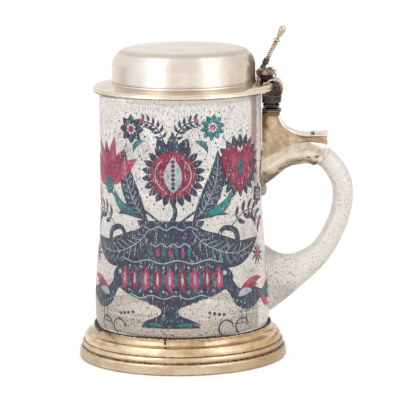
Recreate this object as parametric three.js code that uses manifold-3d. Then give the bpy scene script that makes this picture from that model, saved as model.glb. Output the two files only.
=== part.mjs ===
import * as THREE from 'three';
import { mergeVertices } from 'three/addons/utils/BufferGeometryUtils.js';
import Module from 'manifold-3d';

const wasm = await Module();
wasm.setup();

// A lidded glass beer mug. Sizes are in millimetres and angles in degrees.
// The mug stands on Z = 0 with its axis on Z, and the handle points along +X.

// joints and facets
const SEAM = 0.3; // gap that a soldered, cemented or seated joint keeps
const RUNNING_GAP = 0.3; // gap round the hinge pin and beside each knuckle
const TURN_STEPS = 40; // facets round each turned piece
const SECTION_STEPS = 16; // facets round the handle and the column
const PIN_STEPS = 24; // facets round the hinge parts

// glass body
const RIM_RADIUS = 44.3;
const RIM_Z = 147.1;
const HEEL_RADIUS = 47.95;
const SWELL_TOP_Z = 88;
const SWELL_LOW_Z = 30;
const WALL = 3.2;
const FLOOR_Z = 26.5;
const FLOOR_CORNER = 7;
const BASE_TUCK = 3.35; // how far the ground base lies inside the heel
const BASE_CHAMFER = 0.8;
const HEEL_DROP = 8.6; // height over which the heel rounds in to the base
const HEEL_TOP_Z = 24.5;

// glass handle
const HANDLE_SPAN = 44.7; // from the body's wall to the centre of the handle's furthest reach
const ARM_DROP = 34.1; // from the rim down to the centre of the upper arm
const ROOT_RISE = 22.8; // from the foot's top up to the centre of the lower root
const HANDLE_DEPTH = 11.3;
const HANDLE_WIDTH = 13.4;
const ROOT_WIDTH = 19;
const UPPER_ROOT_DEPTH = 15;
const LOWER_ROOT_DEPTH = 40;
const UPPER_ROOT_DROP = 10.7; // from the upper arm down to the middle of the upper root
const UPPER_ROOT_ANGLE = 100; // degrees the section's long side stands from level at the upper root
const GLASS_DROP = 3; // half height of the drop of glass under the upper root

// foot
const FOOT_FLARE = 9.25; // how far the foot reaches past the heel
const FOOT_HEIGHT = 18.9;
const FOOT_BAND = 5.7; // height of the plain band at the bottom
const FOOT_SHEET = 1.2;
const FOOT_RIM = 3; // width of the rolled-in bottom rim
const FOOT_EDGE = 0.8; // rounding of the band's two edges
const LIP_LAP = 1.1; // from the glass out to the top of the foot's lip
const LIP_ROLL = 0.8;
const COVE_WIDTH = 3.5;
const COVE_HEIGHT = 3.1;
const BULGE_WIDTH = 2.3;
const BULGE_HEIGHT = 4.2;
const BULGE_INSET = 2.8; // from the foot's edge in to the bulge
const BEAD_INSET = 1.5; // from the foot's edge in to the bead
const BEAD_RADIUS = 1.5;
const BEAD_RISE = 2.3; // from the band up to the bead's centre
const GROOVE = 0.3; // depth of the groove under the bead
const PLASTER_RECESS = 2.6;

// handle sleeve and its saddle
const SLEEVE_WALL = 1.2;
const SLEEVE_LIP = 0.5;
const SLEEVE_DROP = 19.2; // from the upper arm down to the sleeve's tip
const SLEEVE_SETBACK = 8.3; // from the handle's outer bend back to the middle of the sleeve's mouth
const MOUTH_TILT = 17; // degrees the mouth leans from upright
const MOUTH_BAND = 1.1; // width of the lip round the mouth
const STRAP_RISE = 9.9; // from the upper arm up to the strap's top
const STRAP_THICKNESS = 1.5;
const STRAP_WIDTH = 11.6;
const STRAP_SWEEP = 15.6; // length of the strap's upward curve
const STRAP_BEVEL = 0.35;
const WEB_WIDTH = 11.4;
const WEB_END_WIDTH = 7;
const WEB_HOLLOW = 1.1; // depth of the hollow in each of the web's sides
const WEB_SETBACK = 2.2; // from the strap's end back to the web's
const PAD_LENGTH = 7.8;
const PAD_WIDTH = 9.4;
const PAD_HEIGHT = 0.7;

// hinge
const PIN_OUT = 6.9; // from the body's wall to the pin
const PIN_RISE = 0.9; // from the lid's seat up to the pin
const PIN_RADIUS = 2.6;
const HEAD_RADIUS = 3.2;
const HEAD_HEIGHT = 1.2;
const HEAD_SINK = 0.8; // depth of the recess that a pin's head lies in
const KNUCKLE_RADIUS = 5.3;
const KNUCKLE_TUBE = 3.9;
const KNUCKLE_LENGTH = 3.2;
const CURL_FROM = -150; // degrees round the pin where the rolled strap leaves the column
const CURL_TIP = 156; // degrees round the pin where its tip ends
const TONGUE_KNUCKLE_RADIUS = 5;
const TONGUE_WIDTH = 6;
const COLUMN_GAP = 0.5; // from the body's wall to the column
const COLUMN_HEIGHT = 10.4; // from the web up to the knuckles' cradle
const CRADLE_DEPTH = 1.2; // how far the cradle rises past the knuckles' lowest line
const COLUMN_THICKNESS = 9.7;
const COLUMN_WIDTH = 11.4;
const ROPE_WIRE = 0.9;
const ROPE_TURNS = 14;
const ROPE_RISE = 4.7; // from the column's foot up to the rope
const NECK_INSET = 2.1; // how far the neck under the rope is let in from the column's flat side
const RING_PROUD = 0.9; // how far the ring mouldings stand out

// lid
const LID_OFFSET = 2.1; // the lid sits this far towards the handle
const FLANGE_OVERHANG = 5.3; // how far the flange reaches past the glass rim
const FLANGE_RIM = 2.9; // height of the flange's edge
const FLANGE_ROUND = 0.7;
const FLANGE_RISE = 1.4; // slope of its upper face from the edge to the dome
const FLANGE_LEDGE = 0.5; // level ledge round the dome's foot
const DOME_LAP = 2.35; // how far the flange reaches in under the dome
const DOME_INSET = 5.15; // from the glass rim in to the dome's side
const DOME_HEIGHT = 20.8;
const DOME_SHOULDER = 10;
const DOME_FOOT = 0.4; // the dome's turned-out foot
const DOME_FOOT_HEIGHT = 1.3;
const DOME_CROWN = 1.7;
const LID_SHEET = 1.1;
const COLLAR_HEIGHT = 3.6;
const COLLAR_PLAY = 0.6; // from the collar to the glass on the hinge side
const LEAF_THICKNESS = 2.2;
const LEAF_WIDTH = 13;
const LEAF_CORNER = 1.4; // length of the leaf's shaped corners
const LEAF_TAPER = 0.6;

// thumb lift
const BRACKET_HEIGHT = 4.8;
const BRACKET_LENGTH = 5.6;
const BRACKET_WIDTH = 5.4;
const SCROLL_HEIGHT = 5.2;
const SCROLL_LENGTH = 5.8; // from its back to the ball's far side
const SCROLL_WIDTH = 4.6;
const SCROLL_BALL = 1.2;
const STEM_OUT = 3.8; // from the dome's side to the stem's foot
const STEM_LEAN = 62.3; // degrees from level
const STEM_LENGTH = 14.8;
const STEM_RADIUS = 1.35;
const STEM_TWIST = 2.5; // turns of the rope twist
const FINIAL_LENGTH = 11.6;
const FINIAL_RADIUS = 2;

// places that follow from the sizes above
const baseRadius = HEEL_RADIUS - BASE_TUCK;
const footRadius = HEEL_RADIUS + FOOT_FLARE;
const flangeRadius = RIM_RADIUS + FLANGE_OVERHANG;
const domeRadius = RIM_RADIUS - DOME_INSET;
const flangeBore = domeRadius - DOME_LAP;
const wallX = RIM_RADIUS;
const armZ = RIM_Z - ARM_DROP;
const lowerRootZ = FOOT_HEIGHT + ROOT_RISE;
const handleDrop = armZ - lowerRootZ;
const sleeveTipZ = armZ - SLEEVE_DROP;
const mouthX = wallX + HANDLE_SPAN - SLEEVE_SETBACK;
const strapTopZ = armZ + STRAP_RISE;
const seatZ = RIM_Z + SEAM;
const pinX = wallX + PIN_OUT;
const pinZ = seatZ + PIN_RISE;
const boreRadius = PIN_RADIUS + RUNNING_GAP;
const knuckleInner = TONGUE_WIDTH / 2 + RUNNING_GAP;
const hingeHalf = knuckleInner + KNUCKLE_LENGTH;
const counterbore = HEAD_RADIUS + 2 * SEAM;
const flangeTopZ = seatZ + FLANGE_RIM;
const domeSeatZ = flangeTopZ + FLANGE_RISE;
const flangeFlat = domeRadius + DOME_FOOT + FLANGE_LEDGE;
const columnX = wallX + COLUMN_GAP;
const columnTopZ = pinZ - KNUCKLE_RADIUS + CRADLE_DEPTH;
const columnFootZ = columnTopZ - COLUMN_HEIGHT;
const strapX = columnX + COLUMN_THICKNESS;
const strapLowZ = strapTopZ - STRAP_THICKNESS;
const neckThickness = COLUMN_THICKNESS - NECK_INSET - 2 * ROPE_WIRE;
const neckWidth = COLUMN_WIDTH - 2 * ROPE_WIRE;
const leafTopZ = domeSeatZ + LEAF_THICKNESS;
const notchX = pinX - KNUCKLE_RADIUS - 2 * RUNNING_GAP;
const bracketX = LID_OFFSET + domeRadius + SEAM;
const stemX = LID_OFFSET + domeRadius + STEM_OUT;
const stemBaseZ = leafTopZ + BRACKET_HEIGHT;

function finish(color, roughness, metalness, more = {}) {
  return new THREE.MeshStandardMaterial({ color, roughness, metalness, ...more });
}

const finishes = {
  glass: finish(0xded8cf, 0.12, 0, { transparent: true, opacity: 0.45 }),
  plaster: finish(0xd8d0c0, 0.95, 0),
  silver: finish(0xd9cfc0, 0.25, 1),
  gilt: finish(0xc9ac7c, 0.3, 1),
  oxidised: finish(0x5c4a3c, 0.5, 1),
};

// welds a geometry's shared corners and drops triangles that shrink to a line
function weld(geometry) {
  const bare = geometry.clone();
  bare.deleteAttribute('normal');
  bare.deleteAttribute('uv');
  const merged = mergeVertices(bare, 1e-4);
  const index = merged.getIndex().array;
  const faces = [];
  for (let k = 0; k < index.length; k += 3) {
    const [a, b, c] = [index[k], index[k + 1], index[k + 2]];
    if (a !== b && b !== c && c !== a) faces.push(a, b, c);
  }
  merged.setIndex(faces);
  return merged;
}

function solid(geometry) {
  const welded = weld(geometry);
  const mesh = new wasm.Mesh({
    numProp: 3,
    vertProperties: new Float32Array(welded.getAttribute('position').array),
    triVerts: new Uint32Array(welded.getIndex().array),
  });
  return new wasm.Manifold(mesh);
}

function geometryOf(body) {
  const mesh = body.getMesh();
  const geometry = new THREE.BufferGeometry();
  geometry.setAttribute('position', new THREE.BufferAttribute(new Float32Array(mesh.vertProperties), 3));
  geometry.setIndex(Array.from(mesh.triVerts));
  geometry.computeVertexNormals();
  return geometry;
}

// a turned piece: the profile holds [radius, height] pairs, up the outside and down the inside
function turned(profile, steps = TURN_STEPS) {
  const points = profile.map(([radius, height]) => new THREE.Vector2(radius, height));
  const geometry = new THREE.LatheGeometry(points, steps);
  geometry.rotateX(Math.PI / 2);
  return geometry;
}

// a closed turned ring: the profile returns to its first point
function turnedRing(profile, steps = TURN_STEPS) {
  return turned([...profile, profile[0]], steps);
}

// the surface through rings of points, closed by a fan at each end, or joined into a loop
function skin(rings, isLoop = false) {
  const count = rings[0].length;
  const positions = rings.flat().flatMap((point) => [point.x, point.y, point.z]);
  const faces = [];
  const bands = isLoop ? rings.length : rings.length - 1;
  for (let band = 0; band < bands; band += 1) {
    const here = band * count;
    const next = ((band + 1) % rings.length) * count;
    for (let k = 0; k < count; k += 1) {
      const beside = (k + 1) % count;
      faces.push(here + k, here + beside, next + beside);
      faces.push(here + k, next + beside, next + k);
    }
  }
  if (!isLoop) {
    const lastRow = (rings.length - 1) * count;
    [rings[0], rings[rings.length - 1]].forEach((ring, end) => {
      const middle = ring.reduce((sum, point) => sum.add(point), new THREE.Vector3()).divideScalar(count);
      const centre = positions.length / 3;
      positions.push(middle.x, middle.y, middle.z);
      for (let k = 0; k < count; k += 1) {
        const beside = (k + 1) % count;
        if (end === 0) faces.push(centre, beside, k);
        else faces.push(centre, lastRow + k, lastRow + beside);
      }
    });
  }
  const geometry = new THREE.BufferGeometry();
  geometry.setAttribute('position', new THREE.Float32BufferAttribute(positions, 3));
  geometry.setIndex(faces);
  geometry.computeVertexNormals();
  return geometry;
}

// a plate cut from an outline in the XZ plane, centred on Y = 0
function slab(shape, width, bevel = 0) {
  const geometry = new THREE.ExtrudeGeometry(shape, {
    depth: width - 2 * bevel,
    bevelEnabled: bevel > 0,
    bevelThickness: bevel,
    bevelSize: bevel,
    bevelOffset: -bevel,
    bevelSegments: 1,
    curveSegments: PIN_STEPS / 2,
  });
  geometry.rotateX(Math.PI / 2);
  geometry.translate(0, width / 2 - bevel, 0);
  return geometry;
}

// a round bar along Y through the hinge axis
function hingeBar(radius, fromY, toY) {
  const bar = new THREE.CylinderGeometry(radius, radius, toY - fromY, PIN_STEPS);
  bar.translate(pinX, (fromY + toY) / 2, pinZ);
  return bar;
}

function box(fromX, toX, width, fromZ, toZ) {
  const geometry = new THREE.BoxGeometry(toX - fromX, width, toZ - fromZ);
  geometry.translate((fromX + toX) / 2, 0, (fromZ + toZ) / 2);
  return geometry;
}

// an outline in the XZ plane, in shares of a length and a height from its corner; a row of four holds a
// curve's control point before its end
function shareOutline(fromX, fromZ, length, height, rows) {
  const shape = new THREE.Shape();
  const at = (along, up) => [fromX + along * length, fromZ + up * height];
  rows.forEach((row, k) => {
    const end = at(...row.slice(-2));
    if (k === 0) shape.moveTo(...end);
    else if (row.length === 2) shape.lineTo(...end);
    else shape.quadraticCurveTo(...at(...row.slice(0, 2)), ...end);
  });
  return shape;
}

// points on a superellipse: power 2 is an ellipse, larger is squarer
function roundedRing(steps, power, place) {
  const ring = [];
  for (let k = 0; k < steps; k += 1) {
    const angle = (2 * Math.PI * k) / steps;
    const c = Math.cos(angle);
    const s = Math.sin(angle);
    ring.push(place(Math.sign(c) * Math.abs(c) ** (2 / power), Math.sign(s) * Math.abs(s) ** (2 / power)));
  }
  return ring;
}

// outside radius of the glass body: straight at the top, swelling lower down, rounded in at the heel
function bodyRadius(z) {
  const swell = THREE.MathUtils.smoothstep(SWELL_TOP_Z - z, 0, SWELL_TOP_Z - SWELL_LOW_Z);
  const radius = RIM_RADIUS + (HEEL_RADIUS - RIM_RADIUS) * swell;
  const tuck = THREE.MathUtils.clamp((HEEL_TOP_Z - z) / HEEL_DROP, 0, 1);
  return radius - (radius - baseRadius) * (1 - Math.sqrt(1 - tuck * tuck));
}

// evenly spaced heights from one to another, both included
function heights(from, to, steps) {
  return Array.from({ length: steps + 1 }, (_, k) => from + ((to - from) * k) / steps);
}

function arc(centreR, centreZ, radiusR, radiusZ, fromDegrees, toDegrees, steps) {
  return heights(fromDegrees, toDegrees, steps).map((degrees) => {
    const angle = THREE.MathUtils.degToRad(degrees);
    return [centreR + radiusR * Math.cos(angle), centreZ + radiusZ * Math.sin(angle)];
  });
}

// outside of the glass body from its ground base up to the rim, grown by a gap where asked
function bodyOutside(grow = 0) {
  const heel = [1, 0.95, 0.8, 0.5, 0].map((share) => HEEL_TOP_Z - HEEL_DROP * share);
  const side = heights(HEEL_TOP_Z, SWELL_TOP_Z, 6).slice(1);
  return [
    [0, -grow],
    [baseRadius - BASE_CHAMFER, -grow],
    [baseRadius + grow, BASE_CHAMFER - grow],
    ...[...heel, ...side].map((z) => [bodyRadius(z) + grow, z]),
  ];
}

function handleSection(t, grow = 0) {
  const place = handlePlaces.getPoint(t);
  const size = handleSizes.getPoint(t);
  const angle = THREE.MathUtils.degToRad(place.z);
  const halfDepth = size.x / 2 + grow;
  const halfWidth = size.y / 2 + grow;
  return roundedRing(SECTION_STEPS, 2.3, (across, side) => new THREE.Vector3(
    place.x + across * halfDepth * Math.cos(angle),
    -side * halfWidth,
    place.y + across * halfDepth * Math.sin(angle),
  ));
}

// stations along the handle: out from the wall as a share of the span, down as a share of the drop,
// the angle of the section's long side, and how far it has flared towards a root
const handleStations = [
  [0.11, 0.084, 123, 0.5],
  [0.284, 0.028, 103, 0.06],
  [0.485, 0, 93, 0],
  [0.63, 0.006, 84, 0],
  [0.806, 0.069, 63, 0.01],
  [0.955, 0.199, 28, 0],
  [1, 0.344, 0, 0],
  [0.934, 0.547, -15, 0],
  [0.73, 0.778, -43, 0.04],
  [0.441, 0.924, -74, 0.236],
  [0.213, 0.99, -87, 0.586],
];
const rootX = wallX - WALL / 2;
const lowerRootX = bodyRadius(lowerRootZ + LOWER_ROOT_DEPTH / 2) - WALL / 3;
const handlePlaces = new THREE.CatmullRomCurve3([
  new THREE.Vector3(rootX, armZ - UPPER_ROOT_DROP, UPPER_ROOT_ANGLE),
  ...handleStations.map(([out, down, angle]) => new THREE.Vector3(
    wallX + out * HANDLE_SPAN,
    armZ - down * handleDrop,
    angle,
  )),
  new THREE.Vector3(lowerRootX, lowerRootZ, -90),
], false, 'catmullrom');
const handleSizes = new THREE.CatmullRomCurve3([
  new THREE.Vector3(UPPER_ROOT_DEPTH, ROOT_WIDTH, 0),
  ...handleStations.map(([, down, , flare]) => {
    const rootDepth = down < 0.5 ? UPPER_ROOT_DEPTH : LOWER_ROOT_DEPTH;
    return new THREE.Vector3(
      HANDLE_DEPTH + flare * (rootDepth - HANDLE_DEPTH),
      HANDLE_WIDTH + flare * (ROOT_WIDTH - HANDLE_WIDTH),
      0,
    );
  }),
  new THREE.Vector3(LOWER_ROOT_DEPTH, ROOT_WIDTH, 0),
], false, 'catmullrom');
const sleeveSpan = 0.43; // share of the handle's line that reaches past the sleeve's mouth

function handleLoft(from, to, steps, grow = 0) {
  return heights(from, to, steps).map((t) => handleSection(t, grow));
}

// the space inside the glass, from its floor up past the rim
function cupSpace() {
  const inside = heights(SWELL_TOP_Z, FLOOR_Z + FLOOR_CORNER, 4).reverse();
  const cornerR = bodyRadius(FLOOR_Z + FLOOR_CORNER) - WALL - FLOOR_CORNER;
  const cornerZ = FLOOR_Z + FLOOR_CORNER;
  return turned([
    [0, FLOOR_Z],
    ...arc(cornerR, cornerZ, FLOOR_CORNER, FLOOR_CORNER, -90, 0, 3).slice(0, -1),
    ...inside.map((z) => [bodyRadius(z) - WALL, z]),
    [RIM_RADIUS - WALL, RIM_Z - WALL / 2],
    [RIM_RADIUS - WALL, RIM_Z + WALL],
    [0, RIM_Z + WALL],
  ]);
}

function glassVessel() {
  const body = turned([
    ...bodyOutside(),
    ...arc(RIM_RADIUS - WALL / 2, RIM_Z - WALL / 2, WALL / 2, WALL / 2, 0, 180, 4),
    [0, RIM_Z - WALL / 2],
  ]);
  const handle = skin(handleLoft(0, 1, 26));
  const drop = new THREE.SphereGeometry(GLASS_DROP, 10, 8);
  drop.scale(1, ROOT_WIDTH / 3 / GLASS_DROP, 1);
  drop.translate(wallX - GLASS_DROP / 5, 0, sleeveTipZ - SEAM - GLASS_DROP);
  return geometryOf(solid(body).add(solid(handle)).add(solid(drop)).subtract(solid(cupSpace())));
}

// the foot's moulded outside from the lip down to the standing rim: a rolled lip, a cove, a bulge, a bead
// and a plain band
function footOutside() {
  const lipR = bodyRadius(FOOT_HEIGHT) + LIP_LAP;
  const bulgeR = footRadius - BULGE_INSET - BULGE_WIDTH;
  const beadZ = FOOT_BAND + BEAD_RISE;
  const bulgeLowZ = beadZ + BEAD_RADIUS + GROOVE;
  const bulgeTopZ = bulgeLowZ + BULGE_HEIGHT;
  const grooveR = footRadius - BEAD_INSET - GROOVE;
  const edgeR = footRadius - FOOT_EDGE;
  return [
    ...arc(lipR, FOOT_HEIGHT - LIP_ROLL, LIP_ROLL, LIP_ROLL, 90, -60, 3),
    ...arc(bulgeR, bulgeTopZ + COVE_HEIGHT, COVE_WIDTH, COVE_HEIGHT, 195, 270, 3),
    ...arc(bulgeR, bulgeLowZ, BULGE_WIDTH, BULGE_HEIGHT, 90, 0, 3).slice(1),
    ...arc(footRadius - BEAD_INSET - BEAD_RADIUS, beadZ, BEAD_RADIUS, BEAD_RADIUS, 75, -30, 3),
    [grooveR, FOOT_BAND + BEAD_RISE / 3],
    ...arc(edgeR, FOOT_BAND - FOOT_EDGE, FOOT_EDGE, FOOT_EDGE, 90, 0, 2),
    [footRadius, FOOT_EDGE],
    [edgeR, 0],
  ];
}

// the foot's inside from the rolled rim up to the lip, drawn in by a gap where asked
function footInside(grow = 0) {
  const sheet = FOOT_SHEET + grow;
  const bulgeR = footRadius - BULGE_INSET - sheet;
  const lipR = bodyRadius(FOOT_HEIGHT) + SEAM - grow;
  const beadZ = FOOT_BAND + BEAD_RISE;
  const shoulderZ = beadZ + BEAD_RADIUS + GROOVE + BULGE_HEIGHT / 2 - sheet;
  return [
    [footRadius - sheet, 2 * FOOT_SHEET + grow],
    [footRadius - sheet, FOOT_BAND - sheet],
    [bulgeR, beadZ - grow],
    [bulgeR, shoulderZ],
    [bulgeR - BULGE_WIDTH, shoulderZ + FOOT_SHEET],
    [lipR + SEAM, FOOT_HEIGHT - COVE_HEIGHT - grow],
    [lipR, FOOT_HEIGHT - COVE_HEIGHT + FOOT_SHEET - grow],
  ];
}

function footRing() {
  const lipR = bodyRadius(FOOT_HEIGHT) + SEAM;
  const rimR = footRadius - FOOT_RIM;
  return turnedRing([
    [rimR + FOOT_SHEET / 2, 0],
    ...footOutside().reverse(),
    [lipR, FOOT_HEIGHT],
    ...footInside().reverse(),
    [rimR, 2 * FOOT_SHEET],
    [rimR, FOOT_SHEET / 2],
  ]);
}

function footPlaster() {
  const inside = footInside(SEAM).slice(1);
  const filling = turned([
    [0, PLASTER_RECESS],
    [inside[0][0], PLASTER_RECESS],
    ...inside,
    [0, inside[inside.length - 1][1]],
  ]);
  const glass = turned([...bodyOutside(SEAM), [0, SWELL_TOP_Z]]);
  return geometryOf(solid(filling).subtract(solid(glass)));
}

// the space the sleeve fills when solid, grown by a gap where asked
function sleeveBlank(grow) {
  return solid(skin(handleLoft(0, sleeveSpan, 11, grow)));
}

// a slice square to the sleeve's mouth, between two distances from it
function mouthSlice(from, to) {
  const slice = new THREE.BoxGeometry(to - from, 4 * ROOT_WIDTH, HANDLE_SPAN);
  slice.translate((from + to) / 2, 0, 0);
  slice.rotateY(THREE.MathUtils.degToRad(MOUTH_TILT));
  slice.translate(mouthX, 0, armZ);
  return solid(slice);
}

function bodyBlank(grow) {
  return solid(turned([...bodyOutside(grow), [RIM_RADIUS + grow, RIM_Z], [0, RIM_Z]]));
}

function handleSleeve() {
  const outer = sleeveBlank(SEAM + SLEEVE_WALL).subtract(mouthSlice(0, HANDLE_SPAN));
  const lip = sleeveBlank(SEAM + SLEEVE_WALL + SLEEVE_LIP).intersect(mouthSlice(-MOUTH_BAND, 0));
  const below = solid(box(0, pinX * 2, pinX, 0, sleeveTipZ));
  return geometryOf(outer.add(lip).subtract(sleeveBlank(SEAM)).subtract(bodyBlank(SEAM)).subtract(below));
}

// the strap's edge: level over the sleeve, then an elliptic quarter up to the column
function strapOutline() {
  const endX = mouthX;
  const turnX = strapX + STRAP_SWEEP;
  const sweepHeight = columnFootZ - strapTopZ;
  const shape = new THREE.Shape();
  shape.moveTo(endX, strapLowZ);
  shape.lineTo(endX, strapTopZ);
  shape.lineTo(turnX, strapTopZ);
  shape.absellipse(turnX, columnFootZ, STRAP_SWEEP, sweepHeight, 1.5 * Math.PI, Math.PI, true);
  shape.lineTo(strapX - STRAP_THICKNESS, columnFootZ);
  const lowSweep = STRAP_SWEEP + STRAP_THICKNESS;
  const lowHeight = sweepHeight + STRAP_THICKNESS;
  shape.absellipse(turnX, columnFootZ, lowSweep, lowHeight, Math.PI, 1.5 * Math.PI, false);
  return shape;
}

function saddleStrap() {
  return slab(strapOutline(), STRAP_WIDTH, STRAP_BEVEL);
}

// height of the web's top under the strap, or under the column
function webTop(x) {
  const turnX = strapX + STRAP_SWEEP;
  const radiusX = STRAP_SWEEP + STRAP_THICKNESS + SEAM;
  const radiusZ = columnFootZ - strapTopZ + STRAP_THICKNESS + SEAM;
  const along = THREE.MathUtils.clamp((turnX - x) / radiusX, 0, 1);
  const underStrap = columnFootZ - radiusZ * Math.sqrt(1 - along * along);
  return Math.min(underStrap, columnFootZ - SEAM);
}

function saddleWeb() {
  const endX = mouthX - WEB_SETBACK;
  const lowZ = armZ - HANDLE_DEPTH / 2;
  const rings = heights(columnX, endX, 14).map((x) => {
    const topZ = webTop(x);
    const along = (x - columnX) / (endX - columnX);
    const broad = THREE.MathUtils.lerp(WEB_WIDTH, WEB_END_WIDTH, along) / 2;
    const waist = broad - WEB_HOLLOW;
    const side = heights(0, 1, 6).map((up) => {
      const spread = (2 * up - 1) ** 2;
      return [waist + (broad - waist) * spread, lowZ + (topZ - lowZ) * up];
    });
    const front = side.map(([y, z]) => new THREE.Vector3(x, -y, z));
    const back = side.map(([y, z]) => new THREE.Vector3(x, y, z)).reverse();
    return [...front, ...back].reverse();
  });
  const sleeve = sleeveBlank(2 * SEAM + SLEEVE_WALL);
  return geometryOf(solid(skin(rings)).subtract(sleeve).subtract(bodyBlank(SEAM)));
}

// a small raised pad with a notch across it, at the strap's outer end
function strapPad() {
  const padX = mouthX - PAD_LENGTH;
  const shape = shareOutline(padX, strapTopZ + SEAM, PAD_LENGTH, PAD_HEIGHT, [
    [1, 0],
    [1, 1],
    [0.5, 0.75],
    [0.4, 0, 0.3, 0.6],
    [0, 1.5, 0, 0],
  ]);
  return slab(shape, PAD_WIDTH);
}

// the column's ring at a height, its flat side let in by a little where asked
function columnRing(z, thickness, width, inset = 0) {
  const centreX = columnX + inset + thickness / 2;
  return roundedRing(SECTION_STEPS, 3.2, (across, side) => new THREE.Vector3(
    centreX + (across * thickness) / 2,
    (side * width) / 2,
    z,
  ));
}

// one rolled knuckle: a tube with the column's strap wrapped round it as far as a tapered tip
function knuckleShape() {
  const shape = new THREE.Shape();
  const degrees = THREE.MathUtils.degToRad;
  shape.absarc(pinX, pinZ, KNUCKLE_RADIUS, degrees(CURL_FROM), degrees(CURL_TIP), false);
  shape.absarc(pinX, pinZ, KNUCKLE_TUBE, degrees(CURL_TIP + 9), degrees(CURL_FROM + 352), false);
  const bore = new THREE.Path();
  bore.absarc(pinX, pinZ, boreRadius, 0, 2 * Math.PI, false);
  shape.holes.push(bore);
  return shape;
}

// a short post with ring mouldings above and below its roped neck, and two knuckles on top
function hingeColumn() {
  const neckLow = ROPE_RISE - 1.3 * ROPE_WIRE;
  const neckHigh = ROPE_RISE + 1.3 * ROPE_WIRE;
  const moulding = (up, proud) => columnRing(
    columnFootZ + up,
    COLUMN_THICKNESS + proud,
    COLUMN_WIDTH + 2 * proud,
  );
  const neck = (up) => columnRing(columnFootZ + up, neckThickness, neckWidth, NECK_INSET);
  const post = solid(skin([
    moulding(0, 0),
    moulding(neckLow * 0.28, 0),
    moulding(neckLow * 0.4, RING_PROUD),
    moulding(neckLow * 0.72, RING_PROUD),
    moulding(neckLow * 0.86, RING_PROUD / 3),
    neck(neckLow),
    neck(neckHigh),
    moulding(neckHigh + ROPE_WIRE / 2, RING_PROUD / 2),
    moulding(neckHigh + ROPE_WIRE * 1.5, RING_PROUD),
    moulding(COLUMN_HEIGHT - RING_PROUD, RING_PROUD),
    columnRing(columnTopZ, COLUMN_THICKNESS + RING_PROUD, 2 * hingeHalf),
  ]));
  const knuckle = solid(slab(knuckleShape(), KNUCKLE_LENGTH));
  const middleY = knuckleInner + KNUCKLE_LENGTH / 2;
  const front = knuckle.translate([0, -middleY, 0]);
  const back = knuckle.translate([0, middleY, 0]);
  const gap = solid(hingeBar(TONGUE_KNUCKLE_RADIUS + RUNNING_GAP, -knuckleInner, knuckleInner));
  const bore = solid(hingeBar(boreRadius, -2 * hingeHalf, 2 * hingeHalf));
  const recess = hingeHalf - HEAD_SINK;
  const sinkFront = solid(hingeBar(counterbore, -2 * hingeHalf, -recess));
  const sinkBack = solid(hingeBar(counterbore, recess, 2 * hingeHalf));
  const hollows = gap.add(bore).add(sinkFront).add(sinkBack);
  return geometryOf(post.add(front).add(back).subtract(hollows));
}

// two wires twisted into a ring that lies round the column
function ropeCollar() {
  const reach = ROPE_WIRE + SEAM;
  const path = columnRing(columnFootZ + ROPE_RISE, neckThickness, neckWidth, NECK_INSET);
  const centreX = columnX + NECK_INSET + neckThickness / 2;
  const loop = new THREE.CatmullRomCurve3(path.map((point) => {
    const outward = new THREE.Vector3(point.x - centreX, point.y, 0).normalize();
    return point.clone().addScaledVector(outward, reach);
  }), true);
  const steps = ROPE_TURNS * 4;
  const rings = [];
  for (let k = 0; k < steps; k += 1) {
    const centre = loop.getPoint(k / steps);
    const along = loop.getTangent(k / steps);
    const outward = new THREE.Vector3(along.y, -along.x, 0);
    const twist = (Math.PI * ROPE_TURNS * k) / steps;
    rings.push(heights(0, 2 * Math.PI, 6).slice(0, -1).map((angle) => {
      const radius = ROPE_WIRE * (0.84 + 0.16 * Math.cos(2 * (angle - twist)));
      return centre.clone()
        .addScaledVector(outward, radius * Math.cos(angle))
        .add(new THREE.Vector3(0, 0, -radius * Math.sin(angle)));
    }));
  }
  return skin(rings, true);
}

function hingePin() {
  const innerY = hingeHalf - HEAD_SINK + SEAM;
  const profile = [
    [0, -innerY - HEAD_HEIGHT],
    [HEAD_RADIUS * 0.6, -innerY - HEAD_HEIGHT * 0.8],
    [HEAD_RADIUS, -innerY - HEAD_HEIGHT * 0.3],
    [HEAD_RADIUS, -innerY],
    [PIN_RADIUS, -innerY],
    [PIN_RADIUS, innerY],
    [HEAD_RADIUS, innerY],
    [HEAD_RADIUS, innerY + HEAD_HEIGHT * 0.3],
    [HEAD_RADIUS * 0.6, innerY + HEAD_HEIGHT * 0.8],
    [0, innerY + HEAD_HEIGHT],
  ];
  return turned(profile, PIN_STEPS);
}

// the dome's outside from its foot up to the crown, grown by a gap where asked
function domeOutside(grow = 0) {
  const baseZ = domeSeatZ + SEAM;
  const shoulderZ = domeSeatZ + DOME_HEIGHT - DOME_CROWN - DOME_SHOULDER;
  return [
    [domeRadius + DOME_FOOT + grow, baseZ - grow],
    [domeRadius + DOME_FOOT + grow, baseZ + DOME_FOOT_HEIGHT / 2],
    [domeRadius + grow, baseZ + DOME_FOOT_HEIGHT],
    ...arc(domeRadius - DOME_SHOULDER, shoulderZ, DOME_SHOULDER + grow, DOME_SHOULDER + grow, 0, 84, 6),
    [(domeRadius - DOME_SHOULDER) / 2, domeSeatZ + DOME_HEIGHT - DOME_CROWN / 4 + grow],
    [0, domeSeatZ + DOME_HEIGHT + grow],
  ];
}

function lidDome() {
  const outside = domeOutside();
  const shoulderZ = domeSeatZ + DOME_HEIGHT - DOME_CROWN - DOME_SHOULDER;
  const innerShoulder = DOME_SHOULDER - LID_SHEET;
  const inside = [
    [0, domeSeatZ + DOME_HEIGHT - LID_SHEET],
    ...arc(domeRadius - DOME_SHOULDER, shoulderZ, innerShoulder, innerShoulder, 84, 0, 5),
    [domeRadius - LID_SHEET, domeSeatZ + SEAM],
  ];
  return turned([...outside, ...inside, outside[0]]);
}

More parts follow.
